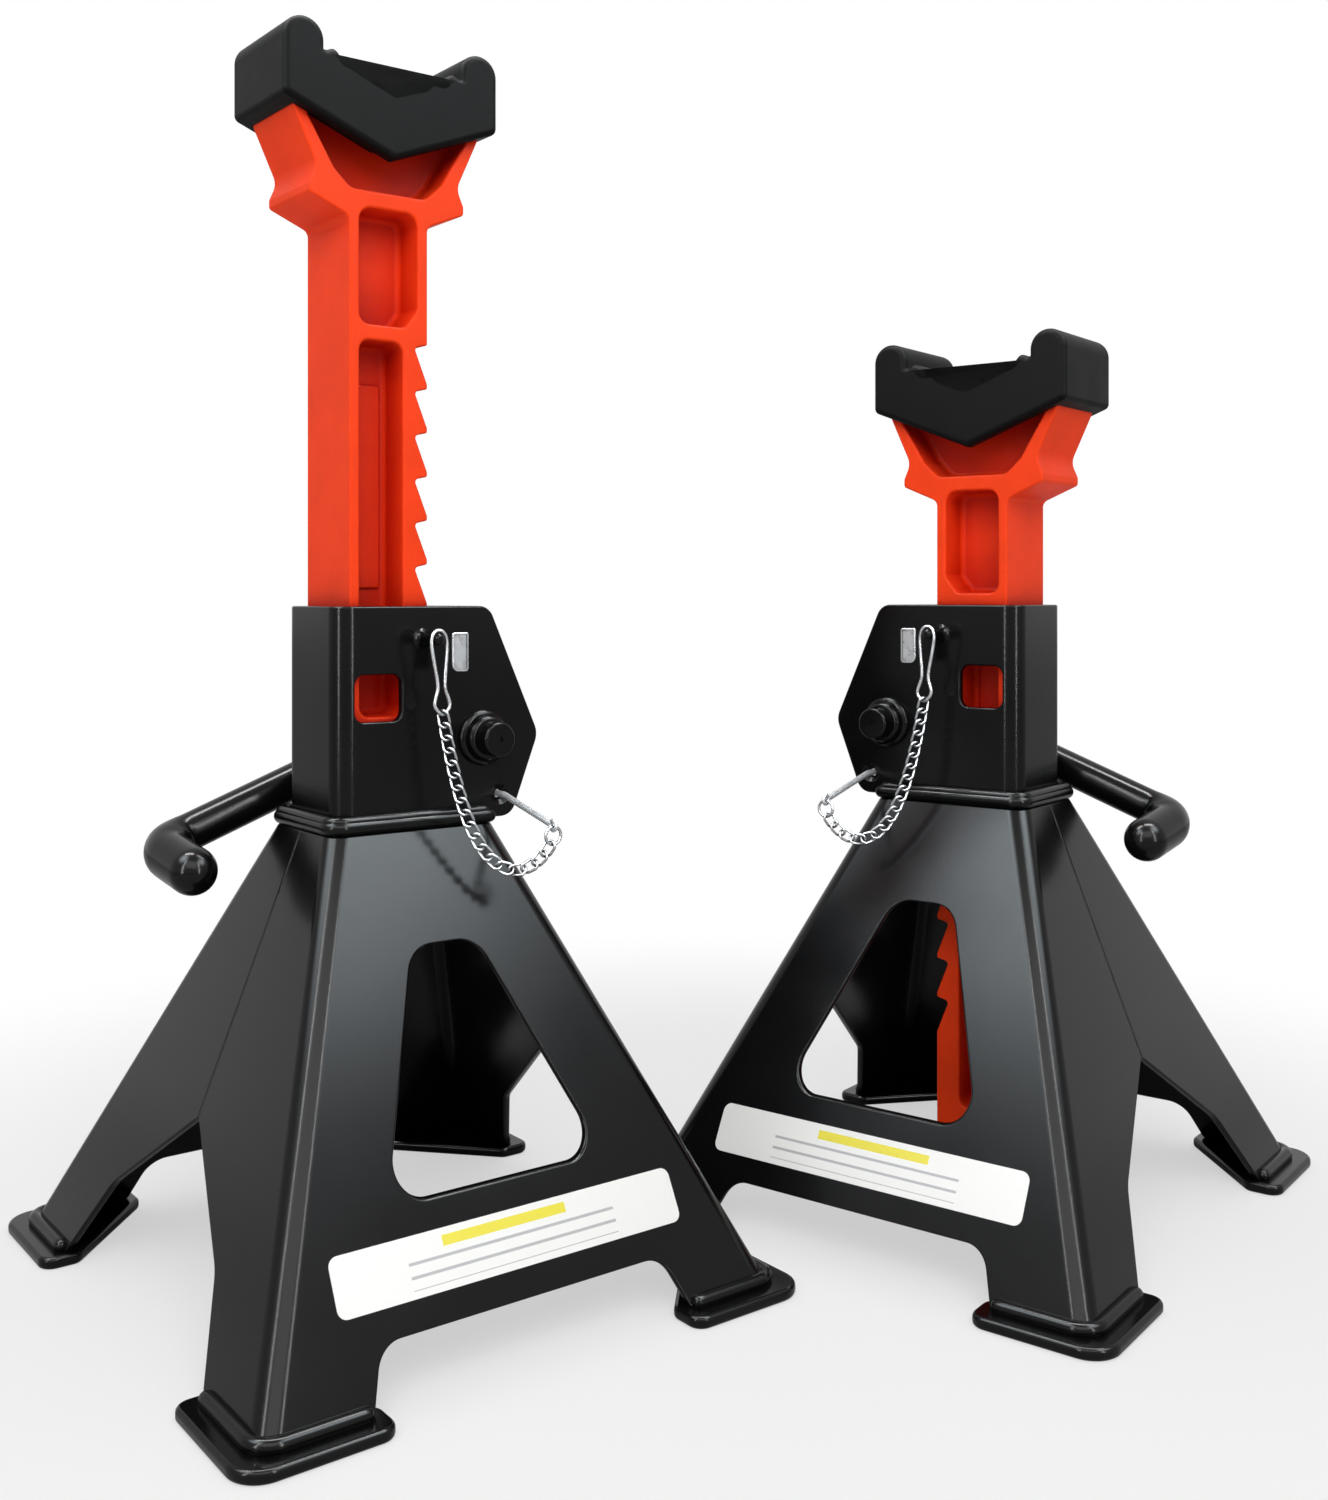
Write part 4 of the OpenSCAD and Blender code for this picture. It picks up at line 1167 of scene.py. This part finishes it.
class MakeStage(bpy.types.Operator):
    """Makes the pale floor, the soft lamps, the white surround and the camera"""
    bl_idname = "jackstand.make_stage"
    bl_label = "Stage"
    panel_half = 0.55

    def execute(self, context):
        scene = context.scene
        centre = (CAD_BOX[0] + CAD_BOX[1]) / 2
        floor = flat_square("studio_floor", 12)
        floor.location = (centre.x, centre.y, CAD_BOX[0].z)
        floor.data.materials.append(self.floor_finish())
        self.surround(scene)
        target = Vector((centre.x, centre.y, 0.22))
        lamps = (("front_softbox", (0, -1.25, 0.95), (1.3, 0.9), 14, True),
                 ("top_strip", (0, 0.04, 1.25), (1.7, 0.16), 44, False),
                 ("right_strip", (0.8, -1.05, 0.56), (0.07, 1.4), 14, False),
                 ("left_strip", (-0.8, -1.05, 0.56), (0.07, 1.4), 14, False))
        for name, spot, size, power, lights_paint in lamps:
            data = bpy.data.lights.new(name, "AREA")
            data.shape = "RECTANGLE"
            data.size, data.size_y = size
            data.energy = power
            lamp = bpy.data.objects.new(name, data)
            scene.collection.objects.link(lamp)
            lamp.visible_diffuse = lights_paint
            lamp.location = target + Vector(spot)
            aim = target - lamp.location
            lamp.rotation_euler = aim.to_track_quat("-Z", "Y").to_euler()
        glow = self.panel_glow()
        for name, side in (("right_panel", 1), ("left_panel", -1)):
            panel = flat_square(name, self.panel_half)
            panel.location = target + Vector((0.8 * side, -0.4, 1.0))
            aim = target - panel.location
            panel.rotation_euler = aim.to_track_quat("Z", "Y").to_euler()
            panel.data.materials.append(glow)
            panel.visible_camera = False
            panel.visible_diffuse = False
            panel.visible_shadow = False
        self.camera(scene)
        return {"FINISHED"}

    def panel_glow(self):
        """A soft cool glow, brightest in the middle of its panel, which only reflections show."""
        made = bpy.data.materials.new("panel_glow")
        made.use_nodes = True
        tree = made.node_tree
        place = add(tree, "ShaderNodeTexCoord").outputs["Object"]
        distance = add(tree, "ShaderNodeVectorMath", {0: place}, operation="LENGTH")
        fall = add(tree, "ShaderNodeMapRange", {"Value": distance.outputs["Value"], "From Min": 0.05,
                                                "From Max": self.panel_half, "To Min": 19.0, "To Max": 0.0},
                   interpolation_type="SMOOTHSTEP")
        cool = (0.86, 0.95, 1.0, 1)
        lit = add(tree, "ShaderNodeEmission", {"Color": cool, "Strength": fall.outputs["Result"]})
        clear = add(tree, "ShaderNodeBsdfTransparent")
        both = add(tree, "ShaderNodeAddShader", {0: lit.outputs["Emission"], 1: clear.outputs["BSDF"]})
        tree.links.new(both.outputs["Shader"], tree.nodes["Material Output"].inputs["Surface"])
        return made

    def floor_finish(self):
        """Matte pale floor that fades into the white surround away from the stands."""
        made, tree, surface, place = shader("pale_floor")
        tint = bpy.context.scene.jack_stand_colours.floor
        surface.inputs["Base Color"].default_value = (*tint, 1)
        surface.inputs["Roughness"].default_value = 0.9
        surface.inputs["Specular IOR Level"].default_value = 0.1
        distance = add(tree, "ShaderNodeVectorMath", {0: place}, operation="LENGTH")
        fade = add(tree, "ShaderNodeMapRange", {"Value": distance.outputs["Value"], "From Min": 0.28,
                                                "From Max": 0.7, "To Min": 0.55, "To Max": 1.0},
                   interpolation_type="SMOOTHSTEP")
        seen = add(tree, "ShaderNodeLightPath")
        amount = add(tree, "ShaderNodeMath", {0: fade.outputs["Result"], 1: seen.outputs["Is Camera Ray"]},
                     operation="MULTIPLY")
        glow = add(tree, "ShaderNodeEmission", {"Color": (1, 1, 1, 1), "Strength": 1.0})
        mixed = add(tree, "ShaderNodeMixShader", {0: amount.outputs[0], 1: surface.outputs["BSDF"],
                                                  2: glow.outputs["Emission"]})
        tree.links.new(mixed.outputs["Shader"], tree.nodes["Material Output"].inputs["Surface"])
        return made

    def surround(self, scene):
        """White to the camera and in reflections, and a plain grey light on everything else."""
        world = bpy.data.worlds.new("studio_surround")
        scene.world = world
        world.use_nodes = True
        tree = world.node_tree
        seen = add(tree, "ShaderNodeLightPath")
        either = add(tree, "ShaderNodeMath", {0: seen.outputs["Is Camera Ray"],
                                              1: seen.outputs["Is Glossy Ray"]}, operation="MAXIMUM")
        any_of = add(tree, "ShaderNodeMath", {0: either.outputs[0], 1: seen.outputs["Is Transmission Ray"]},
                     operation="MAXIMUM")
        strength = add(tree, "ShaderNodeMapRange", {"Value": any_of.outputs[0], "To Min": 0.5, "To Max": 1.0})
        ground = tree.nodes["Background"]
        ground.inputs["Color"].default_value = (1, 1, 1, 1)
        tree.links.new(strength.outputs["Result"], ground.inputs["Strength"])

    def camera(self, scene):
        """A level camera a little right of the left stand's centre, as high as the housings' tops."""
        data = bpy.data.cameras.new("camera")
        data.sensor_width = 36
        data.lens = 38.52
        data.shift_y = -0.104
        data.clip_start = 0.01
        camera = bpy.data.objects.new("camera", data)
        scene.collection.objects.link(camera)
        left = PLACE["left"].translation
        camera.location = (left.x + 0.1296, left.y - 0.7443, 0.3085)
        camera.rotation_euler = (math.pi / 2, 0, 0)
        scene.camera = camera
        scene.view_settings.view_transform = "Standard"


class JackStandPanel(bpy.types.Panel):
    """Lists the pieces and their sizes and colours"""
    bl_idname = "VIEW3D_PT_jack_stands"
    bl_label = "Jack stands"
    bl_space_type = "VIEW_3D"
    bl_region_type = "UI"
    bl_category = "Jack stands"

    def draw(self, context):
        for operator in OPERATORS:
            self.layout.operator(operator.bl_idname)
        for group, owner in ((JackStandSizes, context.scene.jack_stand_sizes),
                             (JackStandColours, context.scene.jack_stand_colours)):
            for name in group.__annotations__:
                self.layout.prop(owner, name)


GROUPS = (JackStandSizes, JackStandColours)
OPERATORS = (MakeBase, MakeFeet, MakeCollar, MakeHousing, MakeBosses, MakeBar, MakePad, MakeHandle, MakePin,
             MakeChain, MakePegAndTab, MakeLabel, PaintInside, MakeStage)


def register():
    for part in (*GROUPS, *OPERATORS, JackStandPanel):
        bpy.utils.register_class(part)
    bpy.types.Scene.jack_stand_sizes = bpy.props.PointerProperty(type=JackStandSizes)
    bpy.types.Scene.jack_stand_colours = bpy.props.PointerProperty(type=JackStandColours)


def unregister():
    del bpy.types.Scene.jack_stand_colours
    del bpy.types.Scene.jack_stand_sizes
    for part in reversed((*GROUPS, *OPERATORS, JackStandPanel)):
        bpy.utils.unregister_class(part)


def main():
    register()
    for operator in OPERATORS:
        group, name = operator.bl_idname.split(".")
        getattr(getattr(bpy.ops, group), name)()


if __name__ == "__main__":
    main()
